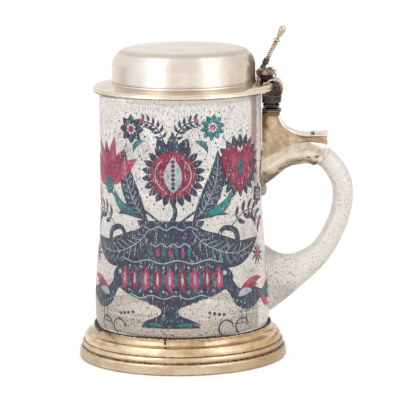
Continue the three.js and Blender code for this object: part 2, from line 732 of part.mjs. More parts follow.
// the flange: a flat seat under the dome, a sloping face and a rounded edge
function flangeProfile(grow = 0) {
  const edgeR = flangeRadius + grow;
  return [
    [flangeBore - grow, seatZ - grow],
    [edgeR - FLANGE_ROUND, seatZ - grow],
    [edgeR, seatZ + FLANGE_ROUND - grow],
    [edgeR, flangeTopZ - FLANGE_ROUND + grow],
    [edgeR - FLANGE_ROUND, flangeTopZ + grow],
    [flangeFlat, domeSeatZ + grow],
    [flangeBore - grow, domeSeatZ + grow],
  ];
}

// the gap in the flange where the hinge stands, between its inner face and past the pin
function flangeNotch(fromX, halfWidth) {
  return solid(box(fromX, pinX * 2, 2 * halfWidth, seatZ - FLANGE_RIM, domeSeatZ + FLANGE_RIM));
}

function lidFlange() {
  const plate = solid(turnedRing(flangeProfile())).translate([LID_OFFSET, 0, 0]);
  const notchHalf = hingeHalf + HEAD_HEIGHT + RUNNING_GAP;
  return geometryOf(plate.subtract(flangeNotch(notchX, notchHalf)));
}

function lidCollar() {
  const outerR = RIM_RADIUS - WALL - LID_OFFSET - COLLAR_PLAY;
  const topZ = seatZ - SEAM;
  return turnedRing([
    [outerR - LID_SHEET, topZ - COLLAR_HEIGHT],
    [outerR, topZ - COLLAR_HEIGHT],
    [outerR, topZ],
    [outerR - LID_SHEET, topZ],
  ]);
}

// the hinge leaf that lies on the flange, narrowing to the centre knuckle
function lidTongue() {
  const half = TONGUE_WIDTH / 2;
  const leafX = LID_OFFSET + domeRadius + DOME_FOOT + SEAM;
  const leafEdge = LEAF_WIDTH / 2;
  const plan = new THREE.Shape();
  plan.moveTo(leafX, -leafEdge);
  plan.lineTo(notchX - LEAF_CORNER, -leafEdge + LEAF_TAPER);
  plan.quadraticCurveTo(notchX, -half - LEAF_TAPER, notchX + SEAM, -half);
  plan.lineTo(pinX, -half);
  plan.lineTo(pinX, half);
  plan.lineTo(notchX + SEAM, half);
  plan.quadraticCurveTo(notchX, half + LEAF_TAPER, notchX - LEAF_CORNER, leafEdge - LEAF_TAPER);
  plan.lineTo(leafX, leafEdge);
  const lowZ = flangeTopZ + SEAM;
  const depth = leafTopZ - lowZ;
  const plate = new THREE.ExtrudeGeometry(plan, { depth, bevelEnabled: false, curveSegments: 4 });
  plate.translate(0, 0, lowZ);
  const knuckle = solid(hingeBar(TONGUE_KNUCKLE_RADIUS, -half, half));
  const bore = solid(hingeBar(boreRadius, -TONGUE_WIDTH, TONGUE_WIDTH));
  const flange = solid(turnedRing(flangeProfile(SEAM))).translate([LID_OFFSET, 0, 0]);
  const seat = flange.subtract(flangeNotch(notchX + SEAM, hingeHalf));
  return geometryOf(solid(plate).add(knuckle).subtract(seat).subtract(bore));
}

// a leaf-shaped cheek that rises from the hinge leaf and leans on the dome
function thumbBracket() {
  const baseZ = leafTopZ + SEAM;
  const shape = shareOutline(bracketX, baseZ, BRACKET_LENGTH, stemBaseZ - baseZ, [
    [0.16, 0],
    [1, 0],
    [1.06, 0.55, 0.84, 0.8],
    [0.72, 0.78, 0.8, 0.92],
    [0.43, 1.04],
    [0.04, 0.78, 0, 0.58],
  ]);
  const leaf = solid(slab(shape, BRACKET_WIDTH));
  const dome = solid(turned([[0, seatZ], ...domeOutside(SEAM)])).translate([LID_OFFSET, 0, 0]);
  return geometryOf(leaf.subtract(dome));
}

// a small scroll over the knuckle, ending in a ball
function thumbScroll() {
  const scrollX = bracketX + BRACKET_LENGTH + 2 * SEAM;
  const baseZ = Math.max(pinZ + TONGUE_KNUCKLE_RADIUS, leafTopZ) + SEAM;
  const shape = shareOutline(scrollX, baseZ, SCROLL_LENGTH, SCROLL_HEIGHT, [
    [0, 0],
    [0.45, 0],
    [0.38, 0.31, 0.62, 0.42],
    [0.93, 0.69, 0.55, 0.94],
    [0.16, 1.04, 0.07, 0.58],
  ]);
  const scroll = solid(slab(shape, SCROLL_WIDTH));
  const ball = new THREE.SphereGeometry(SCROLL_BALL, 12, 8);
  ball.translate(scrollX + SCROLL_LENGTH - SCROLL_BALL, 0, baseZ + SCROLL_HEIGHT * 0.67);
  return geometryOf(scroll.add(solid(ball)));
}

// the thumb lift's neck, collars and twisted shaft, along its own Z
function thumbStem() {
  const collars = [
    [SEAM / STEM_LENGTH, 1.26],
    [0.11, 0.93],
    [0.21, 0.96],
    [0.23, 1.41],
    [0.285, 1.41],
    [0.305, 1.04],
    [0.33, 1.33],
    [0.38, 1.26],
  ].map(([up, across]) => roundedRing(12, 2, (c, s) => new THREE.Vector3(
    across * STEM_RADIUS * c,
    across * STEM_RADIUS * s,
    up * STEM_LENGTH,
  )));
  const twist = heights(0, 1, 13).map((share) => {
    const turn = STEM_TWIST * 2 * Math.PI * share;
    const z = STEM_LENGTH * THREE.MathUtils.lerp(0.4, 1, share);
    return heights(0, 2 * Math.PI, 12).slice(0, -1).map((angle) => {
      const radius = STEM_RADIUS * (0.88 + 0.12 * Math.cos(3 * angle - turn));
      return new THREE.Vector3(radius * Math.cos(angle), radius * Math.sin(angle), z);
    });
  });
  return skin([...collars, ...twist]);
}

// small collar, neck, large collar, baluster and bud, in shares of the finial's radius and length
function thumbFinial() {
  const profile = [
    [0, 0],
    [0.75, 0],
    [0.75, 0.08],
    [0.55, 0.11],
    [0.6, 0.18],
    [1, 0.22],
    [1, 0.3],
    [0.75, 0.34],
    [0.85, 0.43],
    [0.8, 0.52],
    [0.58, 0.6],
    [0.87, 0.69],
    [0.97, 0.78],
    [0.82, 0.89],
    [0.48, 0.97],
    [0, 1],
  ];
  const baseZ = STEM_LENGTH + SEAM;
  return turned(profile.map(([across, up]) => [across * FINIAL_RADIUS, baseZ + up * FINIAL_LENGTH]), 12);
}

function piece(name, geometry, slot) {
  const mesh = new THREE.Mesh(geometry, finishes[slot]);
  mesh.name = name;
  return mesh;
}

const mug = new THREE.Group();
mug.add(piece('glass_vessel', glassVessel(), 'glass'));
mug.add(piece('foot_ring', footRing(), 'gilt'));
mug.add(piece('foot_plaster', footPlaster(), 'plaster'));
mug.add(piece('handle_sleeve', handleSleeve(), 'gilt'));
mug.add(piece('saddle_web', saddleWeb(), 'gilt'));
mug.add(piece('saddle_strap', saddleStrap(), 'gilt'));
mug.add(piece('strap_pad', strapPad(), 'gilt'));
mug.add(piece('hinge_column', hingeColumn(), 'oxidised'));
mug.add(piece('rope_collar', ropeCollar(), 'oxidised'));

const pin = piece('hinge_pin', hingePin(), 'oxidised');
pin.rotation.x = -Math.PI / 2;
pin.position.set(pinX, 0, pinZ);
mug.add(pin);

const lid = new THREE.Group();
const dome = piece('lid_dome', lidDome(), 'silver');
dome.position.x = LID_OFFSET;
const collar = piece('lid_collar', lidCollar(), 'silver');
collar.position.x = LID_OFFSET;
lid.add(dome);
lid.add(collar);
lid.add(piece('lid_flange', lidFlange(), 'silver'));
lid.add(piece('lid_tongue', lidTongue(), 'oxidised'));
lid.add(piece('thumb_bracket', thumbBracket(), 'oxidised'));
lid.add(piece('thumb_scroll', thumbScroll(), 'gilt'));

const lift = new THREE.Group();
lift.position.set(stemX, 0, stemBaseZ);
lift.rotation.y = THREE.MathUtils.degToRad(90 - STEM_LEAN);
lift.add(piece('thumb_stem', thumbStem(), 'gilt'));
lift.add(piece('thumb_finial', thumbFinial(), 'gilt'));
lid.add(lift);
mug.add(lid);

export default mug;
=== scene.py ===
import math
import bpy
import numpy as np
from mathutils import Matrix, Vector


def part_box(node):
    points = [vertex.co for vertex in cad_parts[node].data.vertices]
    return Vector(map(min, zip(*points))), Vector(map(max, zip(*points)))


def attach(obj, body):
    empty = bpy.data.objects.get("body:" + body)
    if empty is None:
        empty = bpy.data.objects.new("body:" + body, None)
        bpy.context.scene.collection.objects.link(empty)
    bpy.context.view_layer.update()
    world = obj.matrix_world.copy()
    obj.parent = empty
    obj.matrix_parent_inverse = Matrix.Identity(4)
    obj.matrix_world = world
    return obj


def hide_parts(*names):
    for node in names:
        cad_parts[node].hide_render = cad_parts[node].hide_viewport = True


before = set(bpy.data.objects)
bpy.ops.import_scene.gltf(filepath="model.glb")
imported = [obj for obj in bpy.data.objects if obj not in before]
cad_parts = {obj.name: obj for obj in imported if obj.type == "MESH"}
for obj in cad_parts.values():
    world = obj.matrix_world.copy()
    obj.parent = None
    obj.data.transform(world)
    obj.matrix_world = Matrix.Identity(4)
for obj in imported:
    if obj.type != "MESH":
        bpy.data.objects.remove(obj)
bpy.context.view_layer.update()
mm = 0.001  # the shapes below are worked out in millimetres, and makePiece turns them into metres
print("frame loaded")


# One corner of a node's box in millimetres: side 0 is the low corner and 1 the high one.
def corner(node, side):
    return np.array(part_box(node)[side]) / mm


# Shapes

# A smooth line through points, by the uniform Catmull-Rom formula: each span blends its four nearest
# points with cubic weights. The ends are carried on in a straight line. Share runs from 0 to 1 over the
# whole line.
def smoothLine(points, share):
    points = np.asarray(points, float)
    along = np.clip(share, 0, 1) * (len(points) - 1)
    span = np.minimum(along.astype(int), len(points) - 2)
    w = (along - span)[:, None]
    padded = np.vstack([2 * points[0] - points[1], points, 2 * points[-1] - points[-2]])
    p0, p1, p2, p3 = (padded[span + k] for k in range(4))
    second, third = 2 * p0 - 5 * p1 + 4 * p2 - p3, 3 * p1 - p0 - 3 * p2 + p3
    return (2 * p1 + (p2 - p0) * w + second * w**2 + third * w**3) / 2


# Smooth lines end to end from a start point, with a corner where one stops and the next goes on.
def cornered(start, lines, perSpan=6):
    parts = [np.array([start], float)]
    for line in lines:
        points = np.vstack([parts[-1][-1], line])
        if len(points) > 2:
            points = smoothLine(points, np.linspace(0, 1, (len(points) - 1) * perSpan + 1))
        parts.append(points[1:])
    return np.vstack(parts)


# Even angles once round.
def roundAngles(steps):
    return np.arange(steps) * 2 * np.pi / steps


# Points on an ellipse from one angle to another, in degrees; one radius makes a circle.
def arc(centre, radii, fromDegrees, toDegrees, steps):
    angle = np.radians(np.linspace(fromDegrees, toDegrees, steps + 1))
    return np.array(centre) + np.stack([np.cos(angle), np.sin(angle)], axis=1) * radii


# A closed outline written in shares of a box: a row of two is a straight line to a point, and a row of
# four is a quadratic curve by way of its first point.
def shareOutline(start, size, rows, steps=10):
    points = [np.array(rows[0], float)]
    w = np.linspace(0, 1, steps + 1)[1:, None]
    for row in rows[1:]:
        end = np.array(row[-2:], float)
        if len(row) == 2:
            points.append(end)
        else:
            pull = np.array(row[:2], float)
            points += list((1 - w) ** 2 * points[-1] + 2 * w * (1 - w) * pull + w**2 * end)
    return np.array(start) + np.array(points) * np.array(size)


# A unit ring whose cosine and sine are raised to 2 / power: power 2 is a circle and more is squarer.
def squaredRing(steps, power):
    flat = np.stack([np.cos(roundAngles(steps)), np.sin(roundAngles(steps))], axis=1)
    return np.sign(flat) * np.abs(flat) ** (2 / power)


# A closed line laid out again in even steps of its length.
def evenly(points, steps):
    closed = np.vstack([points, points[:1]])
    length = np.concatenate([[0], np.cumsum(np.linalg.norm(np.diff(closed, axis=0), axis=1))])
    place = np.arange(steps) * length[-1] / steps
    return np.stack([np.interp(place, length, closed[:, k]) for k in range(points.shape[1])], axis=1)


# One value or vector for each item of a mesh's vertices, normals or edges.
def readRows(items, key, width, kind=float):
    values = np.zeros(len(items) * width, kind)
    items.foreach_get(key, values)
    return values.reshape(-1, width)


# Writes one number for each vertex into a named attribute.
def writeValues(mesh, name, values):
    mesh.attributes.new(name, "FLOAT", "POINT").data.foreach_set("value", values.astype(np.float32))


# How hollow a surface is at each vertex: the mean rise of its neighbours above its tangent plane, over
# distance squared, times twice the given radius. 1 is a hollow of that radius and -1 an edge of it.
def markHollows(mesh, radius, rounds=2):
    co, normal = readRows(mesh.vertices, "co", 3), readRows(mesh.vertex_normals, "vector", 3)
    a, b = readRows(mesh.edges, "vertices", 2, int).T
    way = co[b] - co[a]
    length2 = np.maximum((way**2).sum(1), 1e-12)
    count = np.maximum(np.bincount(np.concatenate([a, b]), minlength=len(co)), 1)
    total = np.zeros(len(co))
    np.add.at(total, a, (normal[a] * way).sum(1) / length2)
    np.add.at(total, b, -(normal[b] * way).sum(1) / length2)
    value = np.clip(2 * radius * total / count, -1.5, 1.5)
    for _ in range(rounds):
        spread = np.zeros(len(co))
        np.add.at(spread, a, value[b])
        np.add.at(spread, b, value[a])
        value = (value + spread / count) / 2
    writeValues(mesh, "hollow", value)


# Puts an object made of the given data into the scene.
def addObject(name, data, finish=None):
    made = bpy.data.objects.new(name, data)
    bpy.context.scene.collection.objects.link(made)
    if finish:
        data.materials.append(finish)
    return made


# A piece that stands for a node, from points in millimetres and face lists, smooth except across edges
# sharper than an angle. Its hollows are marked where a radius for them is given.
def makePiece(name, node, shape, finish, body, hollow=0, sharp=40):
    points, faces = shape
    mesh = bpy.data.meshes.new(name)
    mesh.from_pydata((np.asarray(points) * mm).tolist(), [], faces)
    mesh.validate()
    mesh.polygons.foreach_set("use_smooth", np.ones(len(mesh.polygons), bool))
    mesh.set_sharp_from_angle(angle=math.radians(sharp))
    mesh.update()
    if hollow:
        markHollows(mesh, hollow * mm)
    piece = addObject(name, mesh, finish)
    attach(piece, body)
    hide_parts(node)
    return piece


# Quads between the rows of a grid of points; a closed direction also joins its last line to its first.
def gridFaces(rows, columns, closedRows=False, closedColumns=True):
    r = np.arange(rows if closedRows else rows - 1)
    c = np.arange(columns if closedColumns else columns - 1)
    r0, c0 = (side.ravel() for side in np.meshgrid(r, c, indexing="ij"))
    r1, c1 = (r0 + 1) % rows, (c0 + 1) % columns
    quads = np.stack([r0 * columns + c0, r0 * columns + c1, r1 * columns + c1, r1 * columns + c0], axis=1)
    return quads.tolist()


# A skin over rings of points: an end is closed by a fan of triangles to a middle point, the ring's own mean
# unless one is given.
def skin(rings, closedRows=False, first=None, last=None):
    rows, columns = rings.shape[:2]
    faces = gridFaces(rows, columns, closedRows)
    points = rings.reshape(-1, 3)
    if closedRows:
        return points, faces
    k = np.arange(columns)
    beside = (k + 1) % columns
    middle = np.full(columns, len(points))
    end = (rows - 1) * columns
    faces += np.stack([middle, beside, k], axis=1).tolist()
    faces += np.stack([middle + 1, end + k, end + beside], axis=1).tolist()
    middles = [rings[0].mean(0) if first is None else first, rings[-1].mean(0) if last is None else last]
    return np.vstack([points, middles]), faces


# Rings of a turned surface: each [radius, height] of the profile goes round an upright axis.
def turnedRings(profile, angle, centreX=0.0):
    radius, height = profile[:, :1], profile[:, 1:]
    flat = [centreX + radius * np.cos(angle), radius * np.sin(angle), np.repeat(height, len(angle), axis=1)]
    return np.stack(flat, axis=2)


# A turned surface. The profile runs up the outside and down the inside, and is a closed loop unless both
# its ends lie on the axis.
def turn(profile, steps, centreX=0.0):
    profile = np.asarray(profile, float)
    if profile[0, 0] > 0:
        return skin(turnedRings(profile, roundAngles(steps), centreX), closedRows=True)
    rings = turnedRings(profile[1:-1], roundAngles(steps), centreX)
    return skin(rings, first=[centreX, 0, profile[0, 1]], last=[centreX, 0, profile[-1, 1]])


# An open turned sheet.
def sheet(profile, steps):
    return turnedRings(profile, roundAngles(steps)).reshape(-1, 3), gridFaces(len(profile), steps)


# A plate: a closed outline carried straight across its plane, its edges rounded by drawing the outline in
# along its own normals by a quarter circle at each side. An upright plate has its outline in x and z and
# runs along y; a level one has its outline in x and y and runs up z.
def plate(outline, low, high, rounding, isLevel=False, across=4):
    outline = np.asarray(outline, float)
    after = np.roll(outline, -1, axis=0)
    isCounterClockwise = np.sum(outline[:, 0] * after[:, 1] - after[:, 0] * outline[:, 1]) > 0
    if isCounterClockwise != isLevel:
        outline = outline[::-1]
    way = np.roll(outline, -1, axis=0) - np.roll(outline, 1, axis=0)
    inward = np.stack([-way[:, 1], way[:, 0]], axis=1) * (1 if isLevel else -1)
    inward /= np.maximum(np.linalg.norm(inward, axis=1, keepdims=True), 1e-12)
    bend = np.radians(np.linspace(0, 90, 5))
    rise, drawn = rounding * (1 - np.cos(bend)), rounding * (1 - np.sin(bend))
    middle = np.linspace(low + rounding, high - rounding, across + 1)[1:-1]
    place = np.concatenate([low + rise, middle, high - rise[::-1]])
    drawn = np.concatenate([drawn, np.zeros(len(middle)), drawn[::-1]])
    line = outline[None] + inward[None] * drawn[:, None, None]
    depth = np.repeat(place[:, None], len(outline), axis=1)
    order = [line[..., 0], line[..., 1], depth] if isLevel else [line[..., 0], depth, line[..., 1]]
    rings = np.stack(order, axis=2)
    rows, columns = rings.shape[:2]
    faces = gridFaces(rows, columns)
    faces.append(list(range(columns))[::-1])
    faces.append(list(range((rows - 1) * columns, rows * columns)))
    return rings.reshape(-1, 3), faces


# One shape out of several.
def together(shapes):
    points, faces, count = [], [], 0
    for somePoints, someFaces in shapes:
        points.append(somePoints)
        faces += [[v + count for v in face] for face in someFaces]
        count += len(somePoints)
    return np.vstack(points), faces


# A ball with its poles up and down: a turned half circle.
def ball(centre, radius, steps=24):
    half = arc((0, 0), radius, -90, 90, steps // 2)
    half[[0, -1], 0] = 0
    points, faces = turn(half, steps)
    return points + np.asarray(centre), faces


# Node trees

# Sets a node's inputs by name or number: a socket is linked to it, and anything else becomes its constant.
def setInputs(tree, node, inputs):
    for key, value in inputs.items():
        if isinstance(value, bpy.types.NodeSocket):
            tree.links.new(value, node.inputs[key])
        else:
            node.inputs[key].default_value = value
    return node


# A new node with its inputs and its settings set.
def addNode(tree, kind, inputs=None, **settings):
    made = tree.nodes.new(kind)
    for key, value in settings.items():
        setattr(made, key, value)
    return setInputs(tree, made, inputs or {})


# Two values worked into one by a named operation.
def work(tree, operation, first, second=0.0, isClamped=False):
    inputs = {0: first, 1: second}
    return addNode(tree, "ShaderNodeMath", inputs, operation=operation, use_clamp=isClamped).outputs[0]


# The product of two values.
def times(tree, first, second):
    return work(tree, "MULTIPLY", first, second)


# The larger of two values.
def larger(tree, first, second):
    return work(tree, "MAXIMUM", first, second)


# Two vectors worked into one, or into a value, by a named operation.
def workVectors(tree, operation, first, second, output="Vector"):
    return addNode(tree, "ShaderNodeVectorMath", {0: first, 1: second}, operation=operation).outputs[output]


# Blends two colours by a mask.
def blend(tree, mask, first, second):
    first, second = ((*tone, 1) if isinstance(tone, tuple) else tone for tone in (first, second))
    return addNode(tree, "ShaderNodeMix", {"Factor": mask, 6: first, 7: second}, data_type="RGBA").outputs[2]


# Stretches a value so that low becomes the first result and high the second, and keeps it between them.
def ramp(tree, value, low=0.0, high=1.0, first=0.0, second=1.0):
    limits = {"Value": value, "From Min": low, "From Max": high, "To Min": first, "To Max": second}
    return addNode(tree, "ShaderNodeMapRange", limits).outputs["Result"]


# Object coordinates.
def objectPlace(tree):
    return addNode(tree, "ShaderNodeTexCoord").outputs["Object"]


# One part of a vector: X, Y or Z.
def axisPart(tree, vector, axis):
    return addNode(tree, "ShaderNodeSeparateXYZ", {0: vector}).outputs[axis]


# The surface's own normal, without bump or smoothing.
def trueNormal(tree):
    return addNode(tree, "ShaderNodeNewGeometry").outputs["True Normal"]


# Smooth noise between 0 and 1.
def noise(tree, place, scale, detail, roughness=0.5):
    inputs = {"Vector": place, "Scale": scale, "Detail": detail, "Roughness": roughness}
    return addNode(tree, "ShaderNodeTexNoise", inputs).outputs["Fac"]


# A surface's normal, bumped by a height.
def bumped(tree, height, strength, distance):
    inputs = {"Height": height, "Strength": strength, "Distance": distance}
    return addNode(tree, "ShaderNodeBump", inputs).outputs["Normal"]


# Object coordinates scaled apart along the axes, for patterns that are drawn out one way.
def stretched(tree, scale, flatness):
    size = addNode(tree, "ShaderNodeCombineXYZ", {"X": scale, "Y": scale, "Z": times(tree, scale, flatness)})
    return workVectors(tree, "MULTIPLY", objectPlace(tree), size.outputs[0])


# A node group of values, filled by a function that gives what goes to each output.
def makeGroup(name, inputs, fill):
    group = bpy.data.node_groups.new(name, "ShaderNodeTree")
    for label, value in inputs.items():
        socket = group.interface.new_socket(name=label, in_out="INPUT", socket_type="NodeSocketFloat")
        socket.default_value = value
    results = fill(group, group.nodes.new("NodeGroupInput").outputs)
    for label in results:
        group.interface.new_socket(name=label, in_out="OUTPUT", socket_type="NodeSocketFloat")
    setInputs(group, group.nodes.new("NodeGroupOutput"), results)
    return group


# A shared effect with its own values; gives the group's outputs.
def useGroup(tree, group, inputs):
    return addNode(tree, "ShaderNodeGroup", inputs, node_tree=group).outputs


# Small upright marks: stretched noise, cut off above a level so that only its peaks are left.
def fillFlecks(tree, given):
    speckle = noise(tree, stretched(tree, given["Scale"], given["Flatness"]), 1.0, 1.5, 0.6)
    top = work(tree, "ADD", given["Level"], given["Softness"])
    return {"Mask": ramp(tree, speckle, given["Level"], top)}


# Grime and wear of old metal: grime lies in the hollows and in drifting patches, and edges are rubbed
# bright.
def fillTarnish(tree, given):
    place = objectPlace(tree)
    hollow = addNode(tree, "ShaderNodeAttribute", attribute_name="hollow").outputs["Fac"]
    scale = work(tree, "DIVIDE", 1.0, given["Patch Size"])
    drift = noise(tree, place, scale, 5.0, 0.65)
    broken = ramp(tree, noise(tree, place, times(tree, scale, 7.0), 3.0, 0.7), 0.3, 0.6)
    sunk = times(tree, ramp(tree, hollow, 0.04, 0.5), given["Hollow Grime"])
    held = times(tree, sunk, work(tree, "ADD", times(tree, broken, 0.5), 0.5))
    loose = times(tree, times(tree, ramp(tree, drift, 0.5, 0.72), broken), given["Patch Grime"])
    rub = ramp(tree, times(tree, hollow, -1.0), 0.1, 0.7)
    return {"Grime": work(tree, "ADD", held, loose, True), "Rub": rub, "Drift": drift}


# Fine scratches: noise drawn out very long one way.
def fillScratches(tree, given):
    return {"Height": noise(tree, stretched(tree, given["Scale"], given["Flatness"]), 1.0, 4.0, 0.7)}


# One where the surface's normal points towards the upright axis: the mug's inner side.
def fillInward(tree, given):
    flat = workVectors(tree, "MULTIPLY", objectPlace(tree), (1, 1, 0))
    facing = workVectors(tree, "DOT_PRODUCT", trueNormal(tree), flat, "Value")
    return {"Mask": work(tree, "LESS_THAN", facing, 0.0)}


# A patch that fills a box and fades out over a distance round it, with a ragged edge: the least of the
# distances to the box's sides, shaken by noise, over that distance. It serves for real stains and for
# painted shade, painted highlights and painted reflections.
def fillPatch(tree, given):
    place, soft = objectPlace(tree), given["Softness"]
    scale = work(tree, "MINIMUM", work(tree, "DIVIDE", 0.6, soft), 900.0)
    shaken = work(tree, "SUBTRACT", noise(tree, place, scale, 4.0), 0.5)
    least = None
    for axis in "XYZ":
        part = axisPart(tree, place, axis)
        fromLow = work(tree, "SUBTRACT", part, given["Low " + axis])
        nearer = work(tree, "MINIMUM", fromLow, work(tree, "SUBTRACT", given["High " + axis], part))
        least = nearer if least is None else work(tree, "MINIMUM", least, nearer)
    share = work(tree, "DIVIDE", work(tree, "ADD", least, times(tree, shaken, times(tree, soft, 2.5))), soft)
    return {"Mask": work(tree, "ADD", share, 1.0, True)}


patchInputs = ("Low X", "High X", "Low Z", "High Z", "Softness", "Low Y", "High Y")
flecks = makeGroup("flecks", {"Scale": 900.0, "Flatness": 0.4, "Level": 0.6, "Softness": 0.05}, fillFlecks)
patch = makeGroup("patch", dict.fromkeys(patchInputs, 0.001), fillPatch)
tarnish = makeGroup("tarnish", {"Patch Size": 0.012, "Hollow Grime": 1.0, "Patch Grime": 0.3}, fillTarnish)
scratches = makeGroup("scratches", {"Scale": 260.0, "Flatness": 9.0}, fillScratches)
inward = makeGroup("inward", {}, fillInward)


# The mask of one kind of fleck.
def fleckMask(tree, scale, flatness, level, softness):
    return useGroup(tree, flecks, {
        "Scale": scale, "Flatness": flatness, "Level": level, "Softness": softness,
    })["Mask"]


# The mask of one patch, whether real stain, painted shade or painted highlight. Its row says, in
# millimetres, from and to where it reaches in x and in z and how soft its edge is, then how strong it is,
# and from and to where it reaches in y if that isn't all the way through.
def patchMask(tree, row):
    lowX, highX, lowZ, highZ, soft, strength, lowY, highY = (*row, -70, 70)[:8]
    sides = [value * mm for value in (lowX, highX, lowZ, highZ, soft, lowY, highY)]
    return times(tree, useGroup(tree, patch, dict(zip(patchInputs, sides)))["Mask"], strength)


# The mask with the masks of patches laid over it: the largest of them all.
def withPatches(tree, mask, rows):
    for row in rows:
        mask = larger(tree, mask, patchMask(tree, row))
    return mask


# How much of a printed or clouded skin shows: its alpha, less a share of it on the side that faces the axis.
def shownOutside(tree, alpha, share):
    hidden = times(tree, useGroup(tree, inward, {})["Mask"], share)
    return times(tree, alpha, work(tree, "SUBTRACT", 1.0, hidden))


# A new material, its node tree and its shader.
def newMaterial(name):
    material = bpy.data.materials.new(name)
    material.use_nodes = True
    return material, material.node_tree, material.node_tree.nodes["Principled BSDF"]


# Finishes

# Limits of the shared wear and painted shade: between which values of drift the tones change, how much of
# the tone a shaded side takes, and below which slope a piece's downward faces get painted shade. Heights are
# in metres.
wearAndShade = {
    "drift": (0.35, 0.65), "shadedSideShare": 0.8, "driftShare": 0.5, "mottle": (0.46, 0.62),
    "downward": (-0.1, -0.55), "underShadeDrift": (0.36, 0.56), "scratchHeight": 0.0001, "rippleHeight": 0.0003,
    "glassFleckEdge": 0.05, "glassWaves": {"Scale": 170, "Flatness": 0.12},
}


# Old metal: two tones that drift into each other, rubbed bright on edges and dark with grime in hollows.
# A look may also paint shade on one side and on downward faces, paint highlights over the rub, and put
# painted shade among its stain rows.
def metalFinish(name, look):
    material, tree, shader = newMaterial(name)
    worn = useGroup(tree, tarnish, {
        "Patch Size": look["patchSize"], "Hollow Grime": look["hollowGrime"],
        "Patch Grime": look["patchGrime"],
    })
    toneAndSideShade = ramp(tree, worn["Drift"], *wearAndShade["drift"])
    # Painted shade: the tone turns warm and dark towards one side of the piece in x.
    if "shadedSide" in look:
        side = ramp(tree, axisPart(tree, objectPlace(tree), "X"), *look["shadedSide"])
        side, toneAndSideShade = times(tree, side, wearAndShade["shadedSideShare"]), times(tree, toneAndSideShade, wearAndShade["driftShare"])
        toneAndSideShade = work(tree, "ADD", toneAndSideShade, side, True)
    base = blend(tree, toneAndSideShade, look["pale"], look["warm"])
    if "mottle" in look:
        scale, flatness, share, tone = look["mottle"]
        spots = ramp(tree, noise(tree, stretched(tree, scale, flatness), 1.0, 4.0, 0.6), *wearAndShade["mottle"])
        base = blend(tree, times(tree, spots, share), base, tone)
    # Edges rubbed bright, with painted highlights laid over them as boxes.
    rub = withPatches(tree, times(tree, worn["Rub"], look["rub"]), look.get("paintedHighlights", []))
    rubbedAndHighlit = blend(tree, rub, base, look["rubAndHighlightTone"])
    # Grime in the hollows and in patches, with boxes of painted shade among the stain rows.
    grimeAndShade = withPatches(tree, worn["Grime"], look.get("stainsAndShade", []))
    # Painted shade on faces that turn downwards, broken up by the drift.
    if "paintedUnderShade" in look:
        down = ramp(tree, axisPart(tree, trueNormal(tree), "Z"), *wearAndShade["downward"])
        broken = ramp(tree, worn["Drift"], *wearAndShade["underShadeDrift"])
        grimeAndShade = larger(tree, grimeAndShade, times(tree, times(tree, down, broken), look["paintedUnderShade"]))
    marks = useGroup(tree, scratches, {"Scale": look["scratchScale"], "Flatness": look["scratchFlatness"]})
    setInputs(tree, shader, {
        "Metallic": 1, "Base Color": blend(tree, grimeAndShade, rubbedAndHighlit, look["grimeAndShade"]),
        "Roughness": ramp(tree, grimeAndShade, first=look["roughness"], second=look["grimeRoughness"]),
        "Normal": bumped(tree, marks["Height"], look["scratchDepth"], wearAndShade["scratchHeight"]),
    })
    return material


# In all looks: colours as linear red, green and blue, patch sizes and shaded sides in metres, scratch
# scales per metre, a mottle as scale, flatness, share and tone, and stains, painted shade and painted
# highlights as rows for patchMask.
silverLook = {
    "pale": (0.755, 0.68, 0.595), "warm": (0.66, 0.55, 0.43), "rubAndHighlightTone": (0.9, 0.85, 0.78),
    "grimeAndShade": (0.13, 0.085, 0.05), "roughness": 0.24, "grimeRoughness": 0.5, "rub": 0.6,
    "patchSize": 0.02, "hollowGrime": 0.9, "patchGrime": 0.12, "shadedSide": (0.005, 0.042),
    "scratchScale": 900, "scratchFlatness": 0.04, "scratchDepth": 0.9,
    # The second stain row is a painted dark reflection of the thumb lift down the dome's right side; the
    # first darkens a ring round the shoulder.
    "stainsAndShade": [(-60, 60, 168.8, 169.6, 0.9, 0.24), (38.5, 60, 150, 166.5, 2.6, 0.8)],
}
giltLook = {
    "pale": (0.76, 0.63, 0.46), "warm": (0.62, 0.45, 0.26), "rubAndHighlightTone": (0.9, 0.82, 0.7),
    "grimeAndShade": (0.08, 0.042, 0.018), "roughness": 0.24, "grimeRoughness": 0.55, "rub": 0.6,
    "patchSize": 0.012, "hollowGrime": 1.0, "patchGrime": 0.35,
    "scratchScale": 170, "scratchFlatness": 6, "scratchDepth": 0.2,
}
oxidisedLook = {
    "pale": (0.07, 0.066, 0.072), "warm": (0.03, 0.025, 0.028), "rubAndHighlightTone": (0.42, 0.30, 0.19),
    "grimeAndShade": (0.008, 0.008, 0.010), "roughness": 0.26, "grimeRoughness": 0.5, "rub": 0.38,
    "patchSize": 0.0025, "hollowGrime": 1.2, "patchGrime": 0.8,
    "scratchScale": 700, "scratchFlatness": 1.1, "scratchDepth": 1.0,
    # A painted highlight: a gold line along the ring moulding.
    "paintedHighlights": [(47.5, 57.5, 135.2, 135.8, 0.4, 0.75)],
}
